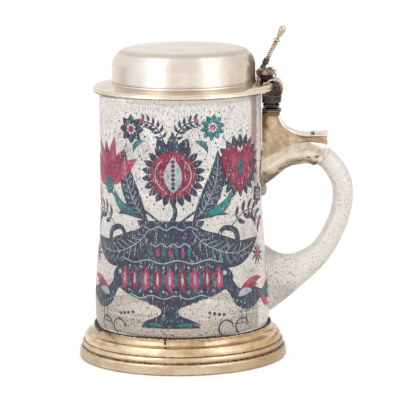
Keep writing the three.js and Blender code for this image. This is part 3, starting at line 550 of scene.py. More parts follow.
# Painted shade between the scroll leaf and the curl of the knuckle under it.
shadeUnderScroll = (44, 58, 153.5, 155.1, 0.6, 0.9)
besideColumn = (0, 43.6, 90, 140, 0.6, 0.8)
silver = metalFinish("silver", silverLook)
flangeMetal = metalFinish("flangeMetal", {
    **silverLook, "pale": (0.74, 0.64, 0.49), "warm": (0.67, 0.54, 0.37), "hollowGrime": 0.3,
    # The stain row is painted shade along the flange's lower edge.
    "patchSize": 0.015, "scratchDepth": 0.4, "stainsAndShade": [(-60, 60, 147.78, 148.1, 0.25, 0.85)],
})
footMetal = metalFinish("footMetal", {
    **giltLook, "pale": (0.88, 0.70, 0.465), "warm": (0.58, 0.36, 0.16), "patchGrime": 0.4,
    "patchSize": 0.018, "shadedSide": (0.012, 0.062), "hollowGrime": 0.4, "roughness": 0.2,
    "mottle": (75, 6.0, 0.55, (0.50, 0.32, 0.15)),
    "stainsAndShade": [
        # The first two rows paint shade on the bottom edge and over the lower band, and the last two paint
        # shade at the band's left and right; between them lie dark grooves, the dark joint under the lip, and
        # stains.
        (-70, 70, -10, 0.4, 0.4, 1), (-70, 70, -10, 4.5, 1.5, 0.24),
        (-70, 70, 6.1, 6.3, 0.5, 1), (-70, 70, 9.6, 9.7, 0.4, 0.9), (-70, 70, 18.4, 21, 0.5, 1),
        (-9.7, -8.8, 15.5, 19.5, 0.3, 1, -60, -30), (-52, -40, 17.8, 21, 3, 1, -50, 0),
        (-51, -36, 14.5, 19.5, 2, 0.35, -50, 0), (-70, -44, 0, 6.5, 6, 0.4, -50, 30),
        (40, 70, 0, 6.5, 6, 0.35, -50, 30),
    ],
})
saddleMetal = metalFinish("saddleMetal", {
    **giltLook, "pale": (0.71, 0.585, 0.44), "warm": (0.46, 0.30, 0.17), "hollowGrime": 0.3,
    "patchGrime": 0.55, "grimeAndShade": (0.15, 0.075, 0.025), "patchSize": 0.004, "roughness": 0.36,
    "shadedSide": (0.062, 0.047), "mottle": (640, 0.6, 0.6, (0.36, 0.21, 0.08)),
    # Painted highlights: a pale streak running down the web beside the column.
    "paintedHighlights": [
        (49.7, 51.7, 125.5, 130.5, 2.4, 0.24), (47.7, 49.7, 118.5, 124.5, 2.4, 0.24),
        (45.7, 47.7, 112, 117.5, 2.4, 0.24),
    ],
    "stainsAndShade": [
        (0, 47, 126.2, 134.5, 2, 0.95), (0, 57, 133.1, 134.2, 0.3, 0.9), besideColumn,
        # The last two rows are a painted shadow in the hollow under the strap's end and painted shade over a
        # reflection on the fillet between web and sleeve.
        (0, 45.5, 119.5, 126.5, 1.2, 0.7), (66.5, 78, 117.5, 121.6, 3, 0.5), (58, 67, 115, 119.5, 1.5, 0.3),
    ],
})
strapMetal = metalFinish("strapMetal", {
    **giltLook, "pale": (0.70, 0.59, 0.44), "warm": (0.56, 0.42, 0.26), "hollowGrime": 0.5, "patchGrime": 0.5,
    "patchSize": 0.005, "roughness": 0.22, "stainsAndShade": [(71.6, 73.1, 122.6, 124.5, 0.3, 0.9)],
})
sleeveMetal = metalFinish("sleeveMetal", {
    **giltLook, "pale": (0.76, 0.69, 0.58), "warm": (0.64, 0.53, 0.39), "hollowGrime": 0.35,
    # Painted shade darkens its downward faces.
    "patchGrime": 0.3, "patchSize": 0.006, "roughness": 0.15, "paintedUnderShade": 0.8,
    "mottle": (300, 0.7, 0.3, (0.50, 0.38, 0.24)),
    "stainsAndShade": [
        (30, 50.5, 88, 100, 4.5, 0.7), besideColumn,
        (69, 70.6, 110.2, 110.7, 0.5, 0.85, -20, -4), (73.4, 75.2, 110.4, 111.2, 0.5, 0.85, -20, -4),
        (45, 46.8, 101.4, 103.2, 0.9, 0.8, -20, 0), (45.3, 47.3, 96.2, 97.6, 0.9, 0.8, -20, 0),
        (58.5, 63.2, 106, 106.6, 0.7, 0.8, -20, 0), (53.5, 57, 103.6, 104.4, 0.7, 0.8, -20, 0),
        (56, 59.5, 104.8, 105.5, 0.6, 0.8, -20, 0),
    ],
})
oxidised = metalFinish("oxidised", oxidisedLook)
curlMetal = metalFinish("curlMetal", {
    **oxidisedLook, "pale": (0.42, 0.33, 0.27), "warm": (0.16, 0.11, 0.09), "rubAndHighlightTone": (0.82, 0.71, 0.56),
    "grimeAndShade": (0.03, 0.02, 0.016), "patchGrime": 0.5, "rub": 0.55,
    # The shine row is a painted highlight over the top of the curls.
    "paintedHighlights": [(43, 51.5, 151.2, 156, 0.8, 0.85)], "stainsAndShade": [(43, 56, 142, 145.8, 1, 0.85)],
})
bronzed = metalFinish("bronzed", {
    **oxidisedLook, "pale": (0.22, 0.11, 0.08), "warm": (0.07, 0.03, 0.026), "rubAndHighlightTone": (0.62, 0.48, 0.38),
    "grimeAndShade": (0.012, 0.008, 0.007), "roughness": 0.24, "rub": 0.7, "patchSize": 0.0022, "hollowGrime": 1.4,
    "patchGrime": 0.9, "scratchScale": 900, "scratchDepth": 0.9, "paintedHighlights": [], "stainsAndShade": [shadeUnderScroll],
})
liftMetal = metalFinish("liftMetal", {
    **oxidisedLook, "pale": (0.60, 0.48, 0.34), "warm": (0.34, 0.24, 0.15), "rubAndHighlightTone": (0.85, 0.74, 0.58),
    "grimeAndShade": (0.03, 0.02, 0.014), "roughness": 0.28, "grimeRoughness": 0.6, "rub": 0.6, "patchSize": 0.003,
    "patchGrime": 0.4, "scratchScale": 500, "scratchFlatness": 1.2, "scratchDepth": 0.3, "paintedHighlights": [],
    "stainsAndShade": [(43, 49.5, 157, 164.2, 1.2, 0.8), shadeUnderScroll],
})


# Aged glass: a tint with short upright flecks, and a rippled surface.
def glassFinish(name, look):
    material, tree, shader = newMaterial(name)
    level = look["fleckLevel"]
    if "crust" in look:
        level = work(tree, "SUBTRACT", level, patchMask(tree, look["crust"]))
    upright = fleckMask(tree, look["fleckScale"], look["fleckFlatness"], level, wearAndShade["glassFleckEdge"])
    marks = withPatches(tree, upright, look["stainsAndShade"])
    waves = useGroup(tree, scratches, wearAndShade["glassWaves"])
    setInputs(tree, shader, {
        "Transmission Weight": look["clearness"], "IOR": look["ior"], "Roughness": look["roughness"],
        "Base Color": blend(tree, marks, look["tint"], look["fleck"]),
        "Normal": bumped(tree, waves["Height"], look["ripple"], wearAndShade["rippleHeight"]),
    })
    return material


bodyGlass = glassFinish("bodyGlass", {
    "tint": (0.975, 0.958, 0.938), "fleck": (0.6, 0.52, 0.45),
    "fleckScale": 1100, "fleckFlatness": 0.4, "fleckLevel": 0.64,
    "ripple": 0.25, "roughness": 0.03, "clearness": 0.94, "ior": 1.5, "stainsAndShade": [],
})
handleGlass = glassFinish("handleGlass", {
    "tint": (1.0, 0.95, 0.885), "fleck": (0.40, 0.29, 0.21),
    "fleckScale": 1500, "fleckFlatness": 0.8, "fleckLevel": 0.6, "crust": (40, 58, 26, 55, 8, 0.045),
    "ripple": 0.5, "roughness": 0.3, "clearness": 0.3, "ior": 1.5,
    "stainsAndShade": [
        (43.5, 51.5, 53, 60, 3, 0.5), (52.5, 60.5, 32, 38.5, 3, 0.3, -30, 0), (40, 50, 86, 94.5, 1.5, 0.6),
    ],
})
hazeLook = {
    "top": 0.12, "low": 0.024, "topTone": (0.86, 0.79, 0.72), "lowTone": (0.66, 0.57, 0.47),
    "topAlpha": 0.26, "lowAlpha": 0.72, "dark": (0.075, 0.05, 0.038), "pale": (0.95, 0.92, 0.87),
    "fleckScale": 1900, "fleckFlatness": 0.4, "fleckEdge": 0.04, "topLevel": 0.6, "lowLevel": 0.575,
    "thickening": 1.5, "fleckAlpha": 0.85, "insideLoss": 0.75, "roughness": 0.4,
    # The column reflection, stronger higher up, is a painted brownish reflection of the column at the glass's
    # edge by the handle, and the pale strip beside it is painted light.
    "paleFlecks": (2565, 0.8, 0.585, 0.05), "columnReflectionHeights": (0.05, 0.11), "tan": (0.33, 0.18, 0.145),
    "columnReflectionSpot": (38.6, 41, 20, 150, 0.8, 0.85, -60, 0),
    "paleStrip": (0.95, 0.90, 0.84), "paleStripSpot": (41.6, 60, 20, 160, 0.7, 0.95, -60, 0),
}


# The cloudy skin of the old glass: a thin veil that is denser and sandier the lower it goes, with dark
# flecks and a few pale ones. By the handle it carries a painted brownish reflection of the column and,
# beside it, a painted pale strip of light.
def hazeFinish():
    look = hazeLook
    material, tree, shader = newMaterial("glassHaze")
    height = axisPart(tree, objectPlace(tree), "Z")
    low = work(tree, "POWER", ramp(tree, height, look["top"], look["low"]), look["thickening"])
    level = ramp(tree, low, first=look["topLevel"], second=look["lowLevel"])
    dark = fleckMask(tree, look["fleckScale"], look["fleckFlatness"], level, look["fleckEdge"])
    pale = fleckMask(tree, *look["paleFlecks"])
    tan = times(tree, patchMask(tree, look["columnReflectionSpot"]), ramp(tree, height, *look["columnReflectionHeights"]))
    paleStrip = patchMask(tree, look["paleStripSpot"])
    tone = blend(tree, low, look["topTone"], look["lowTone"])
    tone = blend(tree, times(tree, pale, low), tone, look["pale"])
    tone = blend(tree, paleStrip, blend(tree, tan, tone, look["tan"]), look["paleStrip"])
    veil = ramp(tree, low, first=look["topAlpha"], second=look["lowAlpha"])
    veil = larger(tree, veil, larger(tree, tan, paleStrip))
    whole = larger(tree, veil, times(tree, dark, look["fleckAlpha"]))
    setInputs(tree, shader, {
        "Base Color": blend(tree, dark, tone, look["dark"]), "Roughness": look["roughness"],
        "Alpha": shownOutside(tree, whole, look["insideLoss"]),
    })
    return material


plasterLook = {
    "tone": (0.70, 0.65, 0.56), "grain": (0.60, 0.54, 0.45), "grainFlecks": (2500, 1.0, 0.45, 0.3),
    "bump": (0.4, 0.0003), "roughness": 0.9,
}


# Plaster: two pale tones in fine grains that also stand out a little.
def plasterFinish():
    look = plasterLook
    material, tree, shader = newMaterial("plaster")
    grain = fleckMask(tree, *look["grainFlecks"])
    setInputs(tree, shader, {
        "Base Color": blend(tree, grain, look["tone"], look["grain"]), "Roughness": look["roughness"],
        "Normal": bumped(tree, grain, *look["bump"]),
    })
    return material


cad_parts["foot_plaster"].data.materials.clear()
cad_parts["foot_plaster"].data.materials.append(plasterFinish())
print("finishes made")


# Glass

glass = {
    "rimRadius": 44.3, "heelRadius": 47.95, "baseTuck": 3.35, "baseChamfer": 0.8,
    "swellTop": 88, "swellLow": 30, "heelTop": 24.5, "heelDrop": 8.6,
    "wall": 3.2, "floor": 26.5, "floorCorner": 7, "columns": 224, "axisRing": 2,
    "hazeLift": 0.015, "hazeFootGap": 0.2, "hazeRimGap": 1.5, "residueInset": 0.05, "residueSpan": (-55, -38),
}
rimZ = corner("glass_vessel", 1)[2]
wallX = glass["rimRadius"]
baseRadius = glass["heelRadius"] - glass["baseTuck"]


# The glass body's outside radius: straight at the top, a smooth step outwards lower down, and an elliptic
# tuck in at the heel.
def bodyRadius(z):
    z = np.asarray(z, float)
    step = np.clip((glass["swellTop"] - z) / (glass["swellTop"] - glass["swellLow"]), 0, 1)
    radius = wallX + (glass["heelRadius"] - wallX) * step * step * (3 - 2 * step)
    tuck = np.clip((glass["heelTop"] - z) / glass["heelDrop"], 0, 1)
    return radius - (radius - baseRadius) * (1 - np.sqrt(1 - tuck**2))


# The radius at which the inside's floor corner starts, at the wall's thickness and the corner's own bend.
def floorCornerRadius():
    return float(bodyRadius(glass["floor"] + glass["floorCorner"])) - glass["wall"] - glass["floorCorner"]


# The body's closed profile: up the outside, over the rounded rim, down the inside at the wall's
# thickness, round the floor's corner and in to the axis.
def makeBody():
    wall, bend, floorZ, axisRing = (glass[key] for key in ("wall", "floorCorner", "floor", "axisRing"))
    lowZ, topZ = corner("glass_vessel", 0)[2], rimZ - wall / 2
    heelZ = glass["heelTop"] - glass["heelDrop"] * np.sin(np.radians(np.linspace(90, 0, 14)))
    heelZ[0] = max(heelZ[0], lowZ + glass["baseChamfer"])
    base = [[r, lowZ] for r in (0, *np.linspace(axisRing, baseRadius - glass["baseChamfer"], 12))]
    outsideZ = np.concatenate([heelZ, np.linspace(glass["heelTop"], topZ, 120)[1:]])
    rim = arc((wallX - wall / 2, topZ), wall / 2, 0, 180, 12)[1:]
    insideZ = np.linspace(topZ, floorZ + bend, 110)[1:]
    cornerR = floorCornerRadius()
    floorEdge = arc((cornerR, floorZ + bend), bend, 0, -90, 14)[1:]
    floorIn = [[r, floorZ] for r in (*np.linspace(cornerR, axisRing, 12)[1:], 0)]
    profile = np.vstack([
        base, np.stack([bodyRadius(outsideZ), outsideZ], axis=1), rim,
        np.stack([bodyRadius(insideZ) - wall, insideZ], axis=1), floorEdge, floorIn,
    ])
    makePiece("glassBody", "glass_vessel", turn(profile, glass["columns"]), bodyGlass, "mug")


handle = {
    "span": 44.7, "armDrop": 34.1, "lowerRootZ": 41.7, "depth": 11.3, "width": 13.4,
    "rootWidth": 19, "upperRootDepth": 15, "lowerRootDepth": 40, "upperRootDrop": 10.7, "upperRootAngle": 100,
    "squareness": 2.3, "rows": 260, "columns": 56, "rootGap": 0.02,
    "blobOut": 0.6, "blobDrop": 21, "blobRadius": 3.8, "blobShape": (0.6, 1.5, 1),
    # out as a share of the span, down as a share of the drop, the section's angle, flare towards the root
    "stations": [
        (0.11, 0.084, 123, 0.5), (0.284, 0.028, 103, 0.06), (0.485, 0, 93, 0), (0.63, 0.006, 84, 0),
        (0.806, 0.069, 63, 0.01), (0.955, 0.199, 28, 0), (1, 0.344, 0, 0), (0.934, 0.547, -15, 0),
        (0.73, 0.778, -43, 0.04), (0.441, 0.924, -74, 0.236), (0.213, 0.99, -87, 0.586),
    ],
}
armZ = rimZ - handle["armDrop"]


# The handle's line as rows of x, z, section angle, depth and width.
def handleRows():
    h = handle
    drop = armZ - h["lowerRootZ"]
    lowX = float(bodyRadius(h["lowerRootZ"] + h["lowerRootDepth"] / 2)) - glass["wall"] / 3
    upperX = wallX - glass["wall"] / 2
    rows = [[upperX, armZ - h["upperRootDrop"], h["upperRootAngle"], h["upperRootDepth"], h["rootWidth"]]]
    for out, down, angle, flare in h["stations"]:
        rootDepth = h["upperRootDepth"] if down < 0.5 else h["lowerRootDepth"]
        depth = h["depth"] + flare * (rootDepth - h["depth"])
        width = h["width"] + flare * (h["rootWidth"] - h["width"])
        rows.append([wallX + out * h["span"], armZ - down * drop, angle, depth, width])
    rows.append([lowX, h["lowerRootZ"], -90, h["lowerRootDepth"], h["rootWidth"]])
    return rows


# Rings of the handle, grown outwards by a distance: a squared ring scaled to the depth and width and
# tilted to the section's angle. Share and grow may differ from point to point.
def handleSurface(share, grow=0.0):
    share = np.asarray(share, float)
    line = smoothLine(handleRows(), share.ravel()).reshape(*share.shape, 5)
    angle = np.radians(line[..., 2])
    ring = squaredRing(share.shape[1], handle["squareness"])
    reach = (line[..., 3] / 2 + grow) * ring[:, 0]
    side = (line[..., 4] / 2 + grow) * ring[:, 1]
    x, z = line[..., 0] + reach * np.cos(angle), line[..., 1] + reach * np.sin(angle)
    return np.stack([x, -side, z], axis=2)


# Pushes points that lie inside the body out to its wall.
def outOfBody(points, gap):
    radius = np.hypot(points[..., 0], points[..., 1])
    least = bodyRadius(points[..., 2]) + gap
    scale = np.where(radius < least, least / np.maximum(radius, 1e-6), 1)
    return points * np.stack([scale, scale, np.ones_like(scale)], axis=-1)


# The handle, with the blob of glass that its upper root left below it.
def makeHandle():
    share = np.repeat(np.linspace(0, 1, handle["rows"])[:, None], handle["columns"], axis=1)
    rod = skin(outOfBody(handleSurface(share), handle["rootGap"]))
    blob, faces = ball((0, 0, 0), handle["blobRadius"], 32)
    blob = blob * handle["blobShape"] + [wallX + handle["blobOut"], 0, armZ - handle["blobDrop"]]
    shape = together([rod, (outOfBody(blob, handle["rootGap"]), faces)])
    makePiece("glassHandle", "glass_vessel", shape, handleGlass, "mug")


# The cloudy skin lies just off the outside, from above the foot to below the rim.
def makeHaze():
    z = np.linspace(corner("foot_ring", 1)[2] + glass["hazeFootGap"], rimZ - glass["hazeRimGap"], 90)
    profile = np.stack([bodyRadius(z) + glass["hazeLift"], z], axis=1)
    makePiece("glassHaze", "glass_vessel", sheet(profile, glass["columns"]), hazeFinish(), "mug")


residueLook = {
    "tone": (0.16, 0.07, 0.045, 1), "roughness": 0.7, "blots": (650, 0.8, 0.47, 0.06),
    "farSide": (-25, 16, 0, 60, 3, 0.8, 20, 60), "leastAlpha": 0.12,
}


# A broken brown line of residue round the floor's corner, strongest at the far side.
def residueFinish():
    look = residueLook
    material, tree, shader = newMaterial("residue")
    share = work(tree, "ADD", patchMask(tree, look["farSide"]), look["leastAlpha"])
    setInputs(tree, shader, {
        "Base Color": look["tone"], "Roughness": look["roughness"],
        "Alpha": times(tree, fleckMask(tree, *look["blots"]), share),
    })
    return material


# The residue: an open strip of the circle that rounds the floor's corner, just inside the glass.
def makeResidue():
    bend = glass["floorCorner"]
    centre = (floorCornerRadius(), glass["floor"] + bend)
    line = arc(centre, bend - glass["residueInset"], *glass["residueSpan"], 6)
    makePiece("floorResidue", "glass_vessel", sheet(line[::-1], 160), residueFinish(), "mug")


makeBody()
makeHandle()
makeHaze()
makeResidue()
print("glass made")


# Print

# Each colour of the print: its tone, the tone it drifts into, and how far it lies off the glass in
# millimetres.
inks = {
    "slate": {"tone": (0.018, 0.040, 0.072), "drift": (0.034, 0.028, 0.058), "lift": 0.03},
    "crimson": {"tone": (0.30, 0.018, 0.06), "drift": (0.19, 0.015, 0.045), "lift": 0.05},
    "pink": {"tone": (0.56, 0.06, 0.15), "drift": (0.40, 0.04, 0.11), "lift": 0.05},
    "teal": {"tone": (0.025, 0.22, 0.22), "drift": (0.015, 0.12, 0.145), "lift": 0.07},
    "pale": {"tone": (0.50, 0.58, 0.60), "drift": (0.34, 0.42, 0.47), "lift": 0.09},
    "plum": {"tone": (0.16, 0.02, 0.055), "drift": (0.03, 0.03, 0.06), "lift": 0.11},
}
printed = {name: [] for name in inks}


# Wraps a grid of distances along the wall and heights on to the outside of the body.
def addPrint(ink, along, height):
    radius = bodyRadius(height) + inks[ink]["lift"]
    angle = along / glass["rimRadius"]
    points = np.stack([radius * np.sin(angle), -radius * np.cos(angle), height], axis=-1).reshape(-1, 3)
    printed[ink].append((points, gridFaces(*along.shape, closedColumns=False)))


# Points given as shares of a size, to one side of a place and up from it.
def spread(place, rows, side=1, size=1.0):
    return np.array(place) + np.array(rows, float) * [side * size, size]


# Unit ways along a line.
def alongWays(line):
    way = np.gradient(line, axis=0)
    return way / np.linalg.norm(way, axis=1, keepdims=True)


# A ribbon of print: a smooth spine with a width that changes evenly from one given value to the next.
def ribbon(ink, spine, widths):
    long = np.linalg.norm(np.diff(spine, axis=0), axis=1).sum()
    t = np.linspace(0, 1, max(6, int(long / 0.8)))
    line = smoothLine(spine, t)
    side = alongWays(line)[:, ::-1] * [1, -1]
    half = np.maximum(smoothLine(np.array(widths, float)[:, None], t) / 2, 0.04)
    across = np.linspace(-1, 1, max(3, int(max(widths) / 1.1)))
    grid = line[:, None] + side[:, None] * (half * across)[..., None]
    addPrint(ink, grid[..., 0], grid[..., 1])


# A ribbon of one width.
def stroke(ink, spine, width):
    ribbon(ink, spine, [width, width])


# The spine of a leaf: a line bowed sideways by a share of its length.
def bowed(start, end, bow):
    start, end = np.array(start, float), np.array(end, float)
    off = np.array([start[1] - end[1], end[0] - start[0]]) * bow
    return [start, start * 0.72 + end * 0.28 + off * 0.8, start * 0.35 + end * 0.65 + off * 0.9, end]


# A leaf: pointed at both ends.
def leaf(ink, start, end, width, bow=0.0):
    ribbon(ink, bowed(start, end, bow), width * np.array([0, 0.55, 0.9, 1, 0.85, 0.5, 0]))


# A round of print: rows across a circle, each as wide as the sine of its turn makes it.
def disc(ink, centre, radius):
    turned = np.linspace(0.05, math.pi - 0.05, max(7, int(radius * 3)))[:, None]
    across = np.linspace(-1, 1, max(4, int(radius * 2)))[None]
    along, height = radius * np.sin(turned) * across, -radius * np.cos(turned) + 0 * across
    addPrint(ink, centre[0] + along, centre[1] + height)


# Small rounds, one at each given point.
def dots(ink, centres, radius=0.6):
    for centre in centres:
        disc(ink, centre, radius)


# Points at a distance round a centre, evenly spaced from a start over a sweep, in degrees.
def around(centre, radius, count, start=0.0, sweep=360):
    angle = np.radians(np.linspace(start, start + sweep, count, endpoint=sweep < 360))
    return np.array(centre) + radius * np.stack([np.cos(angle), np.sin(angle)], axis=1)


# Leaves that stand out from a centre between two radii, each with a dot at its tip if its ink is given.
def burst(ink, centre, inner, outer, count, width, turn=0, tips=None):
    for a, b in zip(around(centre, inner, count, turn), around(centre, outer, count, turn)):
        leaf(ink, a, b, width)
    if tips:
        dots(tips, around(centre, outer * 1.08, count, turn), 0.55)


# A star of petals with a round eye and a ring of dots.
def daisy(ink, centre, radius, count, eye, turn):
    burst(ink, centre, radius * 0.28, radius, count, radius * 4.2 / count, turn)
    disc(eye, centre, radius * 0.24)
    dots(ink, around(centre, radius * 1.16, count, turn + 180 / count), 0.5)


# A fruit with an open lens of seeds, a crown of sepals and a ring of leaves behind it.
def pomegranate(centre, radius):
    disc("crimson", centre, radius)
    burst("slate", centre, radius * 0.85, radius * 1.42, 22, radius * 0.3, 8, "teal")
    for k in (-1, 0, 1):
        sepal = spread(centre, [(0.16 * k, 0.9), (0.62 * k, 1.8 - 0.2 * abs(k))], size=radius)
        leaf("slate", *sepal, radius * 0.5, -0.12 * k)
    leaf("pale", *spread(centre, [(0, -0.8), (0, 0.8)], size=radius), radius * 0.78)
    dots("plum", spread(centre, [(0, 0.19 * k) for k in range(-3, 4)], size=radius), radius * 0.085)
    for side in (-1, 1):
        stroke("pale", around(centre, radius * 0.78, 9, 90 - side * 150, side * 110), 0.5)
        dots("plum", around(centre, radius * 0.62, 6, 90 - side * 130, side * 80), 0.7)


# A fan of fringed petals over a cup.
def carnation(centre, radius, lean):
    cup = spread(centre, (0, -0.7), size=radius)
    for k, degrees in enumerate(np.linspace(28, 152, 7)):
        tip = around(cup, radius * (1.55 if k % 2 else 1.75), 1, degrees - lean)[0]
        leaf("crimson" if k % 2 else "pink", cup, tip, radius * 0.52)
        dots("slate", [tip + (tip - cup) * 0.08])
    for degrees in (58, 90, 122):
        leaf("slate", cup, around(cup, radius * 0.95, 1, degrees - lean)[0], radius * 0.24)
    disc("teal", cup, radius * 0.3)
    for side in (-1, 1):
        leaf("slate", cup, spread(cup, (1.05, 0.1), side, radius), radius * 0.36, side * 0.3)


# Two lobes that meet in a point, with a border of dots inside.
def heart(centre, radius):
    for side in (-1, 1):
        lobe = spread(centre, [(0, -1.1), (0.24, -0.45), (0.4, 0.12), (0.44, 0.5), (0.4, 0.82)], side, radius)
        ribbon("crimson", lobe, [0.3, *(radius * np.array([0.55, 0.95, 1, 0.86, 0.2]))])
        leaf("pink", lobe[1], lobe[3], radius * 0.4, side * 0.1)
        inner = [(0.1, -0.7), (0.5, -0.15), (0.74, 0.35), (0.6, 0.68), (0.35, 0.75)]
        dots("pale", spread(centre, inner, side, radius), 0.5)
    leaf("teal", *spread(centre, [(0, -0.4), (0, 0.35)], size=radius), radius * 0.3)


# A stem with pairs of small leaves and a berry at its end.
def sprig(points, size, berry):
    stroke("slate", points, 0.7)
    line = smoothLine(points, np.linspace(0.18, 0.95, 6))
    for place, (a, b) in zip(line, alongWays(line)):
        for side in (-1, 1):
            end = place + size * np.array([0.6 * a - side * 0.8 * b, 0.6 * b + side * 0.8 * a])
            leaf("slate", place, end, size * 0.38, 0.12 * side)
    disc(berry, points[-1], size * 0.3)


# A long leaf with a pale midrib and ribs.
def broadLeaf(start, end, width, bow):
    leaf("slate", start, end, width, bow)
    line = smoothLine(bowed(start, end, bow), np.linspace(0.12, 0.9, 12))
    stroke("pale", line, 0.45)
    way = alongWays(line)
    for k in range(1, 10):
        reach = width * 0.34 * math.sin(math.pi * (0.12 + 0.078 * k))
        for side in (-1, 1):
            turned = np.array([-way[k, 1], way[k, 0]]) * side
            stroke("pale", [line[k], line[k] + (way[k] * 0.8 + turned) * reach], 0.3)


# A bird in profile, looking the way of side.
def bird(centre, side, size):
    def at(*rows):
        return spread(centre, rows, side, size)

    body = at((-0.75, 0.02), (-0.3, 0), (0.2, 0.02), (0.52, 0.36), (0.7, 0.66))
    ribbon("slate", body, size * np.array([0.1, 0.34, 0.62, 0.5, 0.3, 0.3, 0.12]))
    for k, ink in enumerate(("crimson", "teal", "slate", "pink")):
        leaf(ink, *at((-0.55, 0.02), (-1.5 + 0.1 * k, 0.5 - 0.3 * k)), size * 0.22, side * 0.1)
    for k, ink in enumerate(("pink", "crimson", "pale")):
        leaf(ink, *at((0.3, 0.1 - 0.02 * k), (-0.7 + 0.25 * k, 0.42 - 0.14 * k)), size * 0.2, -side * 0.12)
    leaf("crimson", *at((0.76, 0.72), (1.12, 0.66)), size * 0.14)
    dots("pale", at((0.66, 0.72)), size * 0.06)
    for x in (0.4, 0.56, 0.72):
        stroke("slate", at((0.62, 0.82), (x, 1.04)), 0.45)
        dots("teal", at((x, 1.07)), size * 0.045)
    for x in (0, 0.16):
        stroke("slate", at((0.05 + x, -0.28), (0.05 + x, -0.62), (0.22 + x, -0.64)), 0.6)
    dots("pale", at(*((0.1 + 0.12 * k, -0.14 + 0.05 * k) for k in range(4))), 0.5)


# A broad vase with bands of pattern and a scrolled handle on each side.
def vase(low):
    def at(*rows):
        return spread(low, rows)

    widths = [30, 26, 12, 9, 22, 44, 58, 66, 68, 64, 55, 42, 30, 24, 22, 25, 34, 38]
    ribbon("slate", at((0, 0), (0, 58)), widths)
    for k in range(-4, 5):
        leaf("crimson" if k % 2 else "pink", *at((6.4 * k, 20), (6.4 * k, 33)), 4.6)
        leaf("pale", *at((6.4 * k, 23), (6.4 * k, 30)), 1.4)
    for k in range(-4, 4):
        x = 6.4 * (k + 0.5)
        leaf("teal", *at((x, 23.5), (x, 29.5)), 1.8)
        dots("pale", at((x, 20), (x, 33)))
    for height, reach in ((17, 22), (36, 28), (45, 11), (54, 15)):
        wave = [(reach * k, height + 0.9 * math.sin(11 * k)) for k in np.linspace(-1, 1, 31)]
        stroke("pale", at(*wave), 0.55)
    for k in range(-3, 4):
        leaf("teal" if k % 2 else "pink", *at((3.4 * k, 38.5), (3.4 * k, 43.5)), 2.0)
    dots("plum", at(*((5 * k, 13.5) for k in range(-2, 3))), 0.9)
    for side in (-1, 1):
        scroll = spread(low, [(27, 34), (37, 40), (38, 50), (30, 53), (26, 47), (30, 44)], side)
        ribbon("slate", scroll, [1.4, 3.2, 3.4, 2.8, 1.8, 0.8])
        leaf("teal", *spread(low, [(3, 1.2), (12, 2.4)], side), 1.8)


# What stands on one side of a bouquet: its leaves, sprigs, bird and star.
def bouquetSide(low, side):
    def at(*rows):
        return spread(low, rows, side)

    stroke("slate", at((4, 56), (16, 64), (29, 66), (38, 71)), 1.3)
    broadLeaf(*at((8, 58), (57, 45)), 17, -side * 0.24)
    broadLeaf(*at((12, 57), (27, 96)), 11, -side * 0.12)
    leaf("teal", *at((19, 62), (36, 74)), 5.5, -side * 0.2)
    leaf("slate", *at((13, 58), (33, 60)), 5, side * 0.16)
    bird(at((43, 14))[0], -side, 21)
    sprig(at((34, 53), (44, 60), (53, 60), (61, 52)), 7, "pink")
    leaf("teal", *at((14, 101), (21, 94)), 3, side * 0.2)
    sprig(at((2, 99), (5, 106), (9, 110), (15, 112)), 4.5, "pink")
    star = at((55, 36))[0]
    burst("slate", star, 1.8, 5.5, 9, 1.8, tips="crimson")
    disc("pink", star, 2.2)
    for x in (29, 39):
        stroke("slate", around(at((x, -1))[0], 4.2, 12, 0, 250), 0.9)
    dots("slate", at(*((20 + 2.6 * k, 8 - 0.5 * k) for k in range(4))), 0.9)


# One bouquet in its vase.
def bouquet(low):
    vase(low)
    ribbon("slate", spread(low, [(0, 55), (3, 62), (2, 68)]), [3, 1.6])
    for side in (-1, 1):
        bouquetSide(low, side)
    pomegranate(spread(low, (2, 83)), 12.5)
    carnation(spread(low, (-41, 86)), 16, -8)
    burst("slate", spread(low, (42, 86)), 9, 17.5, 20, 4.2, tips="teal")
    heart(spread(low, (42, 86)), 14)
    for ink, place, radius, count, eye, turn in (
            ("slate", (-22, 107), 8, 8, "crimson", 0), ("teal", (24, 108), 7.4, 10, "pink", 10),
            ("slate", (60, 68), 6.5, 6, "crimson", 20), ("pink", (-60, 68), 6, 7, "slate", 0)):
        daisy(ink, spread(low, place), radius, count, eye, turn)


# The tall spray between the two bouquets, on the side away from the handle.
def spray(low):
    sprig(spread(low, [(0, 0), (-2, 24), (2, 46), (0, 62)]), 8, "crimson")
    daisy("crimson", spread(low, (0, 72)), 8, 9, "teal", 0)
    sprig(spread(low, [(0, 82), (1, 92), (-1, 106)]), 5.5, "pink")


# Each kind of fleck is a row of scale, flatness, level and edge. The thickness is in millimetres.
inkLook = {
    "worn": (1500, 0.3, 0.58, 0.05), "wornLoss": 0.75, "thin": (420, 0.35, 0.47, 0.25), "thinShare": 0.6,
    "dark": (520, 0.9, 0.6, 0.04), "darkShare": 0.75, "patchSize": 0.011, "drift": (0.42, 0.6),
    "insideLoss": 0.9, "roughness": 0.5, "thickness": 0.015,
}


